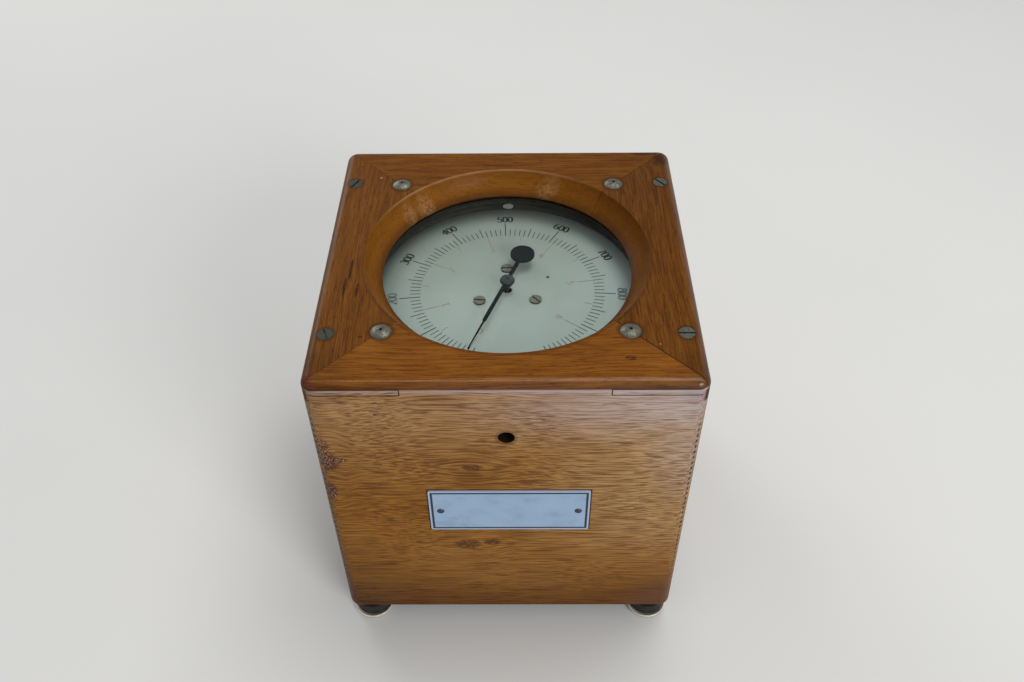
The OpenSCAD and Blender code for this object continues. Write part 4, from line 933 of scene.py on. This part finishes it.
def slab(path, widths, low, high):
    # a flat strip along a path: at each point four corners, half a width to either side, low and high
    heading = np.gradient(path, axis=0)
    heading /= np.linalg.norm(heading, axis=1)[:, None]
    side = np.stack([-heading[:, 1], heading[:, 0]], 1)*np.asarray(widths)[:, None]/2
    corners = [(path + side, low), (path - side, low), (path - side, high), (path + side, high)]
    points = np.stack([np.column_stack([flat, np.full(len(path), level)]) for flat, level in corners], 1)
    faces = tubeFaces(len(path), 4).tolist()
    last = 4*(len(path) - 1)
    faces += [[3, 2, 1, 0], [last, last + 1, last + 2, last + 3]]
    return points.reshape(-1, 3), faces


def gather(parts):  # many meshes as one
    points, faces, count = [], [], 0
    for partPoints, partFaces in parts:
        points.append(partPoints)
        faces += [[index + count for index in face] for face in partFaces]
        count += len(partPoints)
    return np.concatenate(points), faces


# Dial printing

dialPrint = {
    "turn": -1.7,  # degrees, clockwise from the back
    "sweep": 31.65,  # degrees for each hundred
    "tick": (44.9, 50.2, 0.40),  # inner and outer radius, width
    "half": (44.9, 52.4, 0.44),
    "full": (44.9, 55.7, 0.52),
    "numberAt": 59.2,
    "numberHigh": 4.8,
    "pen": (0.085, 0.22),  # thin and thick stroke, as shares of a figure's height
    "inkHigh": 0.05,
    "inkSunk": 0.02,
    "redStart": -156.9,
    "redStep": 47.5,
    "redLine": (44.6, 36.6, 0.36),
    "redHalf": (44.6, 40.4, 0.30),
    "redAt": 33.4,
    "redHigh": 4.0,
    "redPen": (0.07, 0.11),
}


def arc(x, y, wide, tall, start, end, count=22):  # points on an ellipse between two angles in degrees
    t = np.radians(np.linspace(start, end, count))
    return np.column_stack([x + wide*np.cos(t), y + tall*np.sin(t)])


def straight(*corners):  # evenly spaced points along straight lines between corners
    runs = [np.linspace(a, b, 7)[:-1] for a, b in zip(corners[:-1], corners[1:])]
    return np.concatenate([*runs, corners[-1:]])


digitWide = 0.61  # figures are drawn in a box of this width and a height of 1
digitStrokes = {
    "0": [arc(0.31, 0.50, 0.24, 0.47, 90, 450, 40)],
    "1": [straight((0.14, 0.80), (0.34, 0.95)), straight((0.34, 0.97), (0.34, 0.03)),
          straight((0.16, 0.02), (0.52, 0.02))],
    "2": [np.concatenate([arc(0.30, 0.70, 0.21, 0.26, 160, -35), straight((0.42, 0.46), (0.09, 0.07))]),
          straight((0.07, 0.06), (0.55, 0.06))],
    "3": [arc(0.28, 0.74, 0.20, 0.23, 150, -90), arc(0.28, 0.28, 0.24, 0.26, 90, -150)],
    "4": [straight((0.42, 0.96), (0.05, 0.30)), straight((0.04, 0.29), (0.60, 0.29)),
          straight((0.44, 0.97), (0.44, 0.03)), straight((0.29, 0.02), (0.58, 0.02))],
    "5": [straight((0.13, 0.93), (0.52, 0.93)), straight((0.14, 0.94), (0.12, 0.50)),
          arc(0.28, 0.31, 0.26, 0.28, 130, -150)],
    "6": [arc(0.52, 0.46, 0.43, 0.50, 105, 180), arc(0.32, 0.29, 0.23, 0.27, 180, 540, 36)],
    "7": [straight((0.07, 0.92), (0.56, 0.92)), straight((0.55, 0.93), (0.36, 0.50), (0.25, 0.03))],
    "8": [arc(0.31, 0.74, 0.18, 0.22, 90, 450, 30), arc(0.31, 0.27, 0.24, 0.26, 90, 450, 34)],
    "9": [arc(0.10, 0.54, 0.43, 0.50, -75, 0), arc(0.30, 0.71, 0.23, 0.27, 0, 360, 36)],
}


def stroke(path, high, pen):
    # pen width = thin + (thick - thin) * upright share of the stroke's heading, as with a broad nib
    thin, thick = pen
    heading = np.gradient(path, axis=0)
    share = np.abs(heading[:, 1])/np.linalg.norm(heading, axis=1)
    return path*high, (thin + (thick - thin)*share**1.4)*high


def outwards(angle):  # the direction out from the dial's middle, for degrees clockwise from the back
    turn = math.radians(angle)
    return np.array([math.sin(turn), math.cos(turn)])


def number(text, angle, radius, high, pen, low, top):
    # figures in a row across a radius, their tops outwards
    advance = digitWide*high
    outward = outwards(angle)
    right = np.array([outward[1], -outward[0]])
    parts = []
    for i, digit in enumerate(text):
        start = (i - len(text)/2)*advance
        for path in digitStrokes[digit]:
            flat, widths = stroke(path, high, pen)
            across = flat[:, 0] + start
            out = flat[:, 1] + radius - high/2
            parts.append(slab(across[:, None]*right + out[:, None]*outward, widths, low, top))
    return parts


def radialLine(angle, inner, outer, wide, low, top):  # a straight strip on a radius
    return slab(np.linspace(inner, outer, 3)[:, None]*outwards(angle), [wide]*3, low, top)


def printDial(look):
    low, top = dialLevel - look["inkSunk"], dialLevel + look["inkHigh"]
    black, red = [], []
    for value in range(101):
        kind = "full" if value % 10 == 0 else "half" if value % 5 == 0 else "tick"
        angle = look["turn"] + (value - 50)*look["sweep"]/10
        black.append(radialLine(angle, *look[kind], low, top))
        if kind == "full":
            text = str(value*10)
            black += number(text, angle, look["numberAt"], look["numberHigh"], look["pen"], low, top)
    for value in range(13):
        angle = look["redStart"] + value*look["redStep"]/2
        if value % 2:
            red.append(radialLine(angle, *look["redHalf"], low, top))
            continue
        red.append(radialLine(angle, *look["redLine"], low, top))
        red += number(str(value//2), angle, look["redAt"], look["redHigh"], look["redPen"], low, top)
    makePiece("dialNumbers", *gather(black), finishes["ink"], "case", "pointer_black")
    makePiece("innerScale", *gather(red), finishes["redInk"], "case", "copper_strap")


printDial(dialPrint)
print("dial printed")


# Floor, lamps and world

studio = {
    "floorSize": 3.0,  # metres
    "floorColour": (0.60, 0.595, 0.575),
    "floorBounce": (0.20, 0.19, 0.17),  # what the floor throws back on the object
    "floorMottle": 260.0,  # millimetres
    "floorDim": 0.94,
    "sky": (0.95, 0.97, 1.0),
    "skyStrength": 0.50,
    "backdrop": (0.72, 0.73, 0.73),
    "seenBy": ("Is Camera Ray", "Is Glossy Ray", "Is Transmission Ray"),  # rays that see the pale floor
    "lampSize": 1.0,  # metres
    "lamps": [  # places in metres
        {"name": "overhead", "at": (0.36, 0.34, 1.75), "towards": (0.0, 0.0, 0.15), "power": 14},
        {"name": "frontFill", "at": (1.05, -1.55, 1.05), "towards": (0.0, 0.0, 0.15), "power": 26},
        {"name": "backFill", "at": (-1.05, 1.45, 0.95), "towards": (0.0, 0.0, 0.12), "power": 11},
    ],
}


def paleRays(finish, look):  # 1 for a ray that sees the pale floor and backdrop
    path = finish.node("LightPath")
    return total([Num(finish, path.outputs[kind]) for kind in look["seenBy"]])


def makeFloor(look):
    finish = Finish("floorPaper")
    x, y = finish.place()[:2]
    slow = finish.noise(x/look["floorMottle"], y/look["floorMottle"], 0.0, 3.0)
    dim = tuple(channel*look["floorDim"] for channel in look["floorColour"])
    pale = finish.mix(slow, look["floorColour"], dim)
    colour = finish.mix(paleRays(finish, look), look["floorBounce"], pale)
    mesh = bpy.data.meshes.new("floor")
    half = look["floorSize"]/2
    corners = [(-half, -half, 0), (half, -half, 0), (half, half, 0), (-half, half, 0)]
    mesh.from_pydata(corners, [], [(0, 1, 2, 3)])
    mesh.materials.append(finish.surface(colour, 0.9, {"Specular IOR Level": 0.1}))
    floor = addObject("floor", mesh)


def aim(obj, at, towards):  # put an object at a place and turn its -Z to another
    look = Vector(towards) - Vector(at)
    obj.matrix_world = Matrix.Translation(at) @ look.to_track_quat("-Z", "Y").to_matrix().to_4x4()


def makeLamps(look):
    for lamp in look["lamps"]:
        data = bpy.data.lights.new(lamp["name"], "AREA")
        data.shape = "DISK"
        data.size = look["lampSize"]
        data.energy = lamp["power"]
        aim(addObject(lamp["name"], data), lamp["at"], lamp["towards"])


def makeWorld(look):
    # dim sky for the light; rays from the camera, mirrors and glass see the pale backdrop
    room = Finish("room", bpy.data.worlds)
    light = room.node("Background", sockets={0: look["sky"], 1: look["skyStrength"]})
    seen = room.node("Background", sockets={0: look["backdrop"]})
    sockets = {0: paleRays(room, look), 1: light.outputs[0], 2: seen.outputs[0]}
    both = room.node("MixShader", sockets=sockets)
    room.node("OutputWorld", sockets={0: both.outputs[0]})
    bpy.context.scene.world = room.made


makeFloor(studio)
makeLamps(studio)
makeWorld(studio)
bpy.context.scene.view_settings.view_transform = "Standard"
print("studio ready")

bpy.context.view_layer.update()
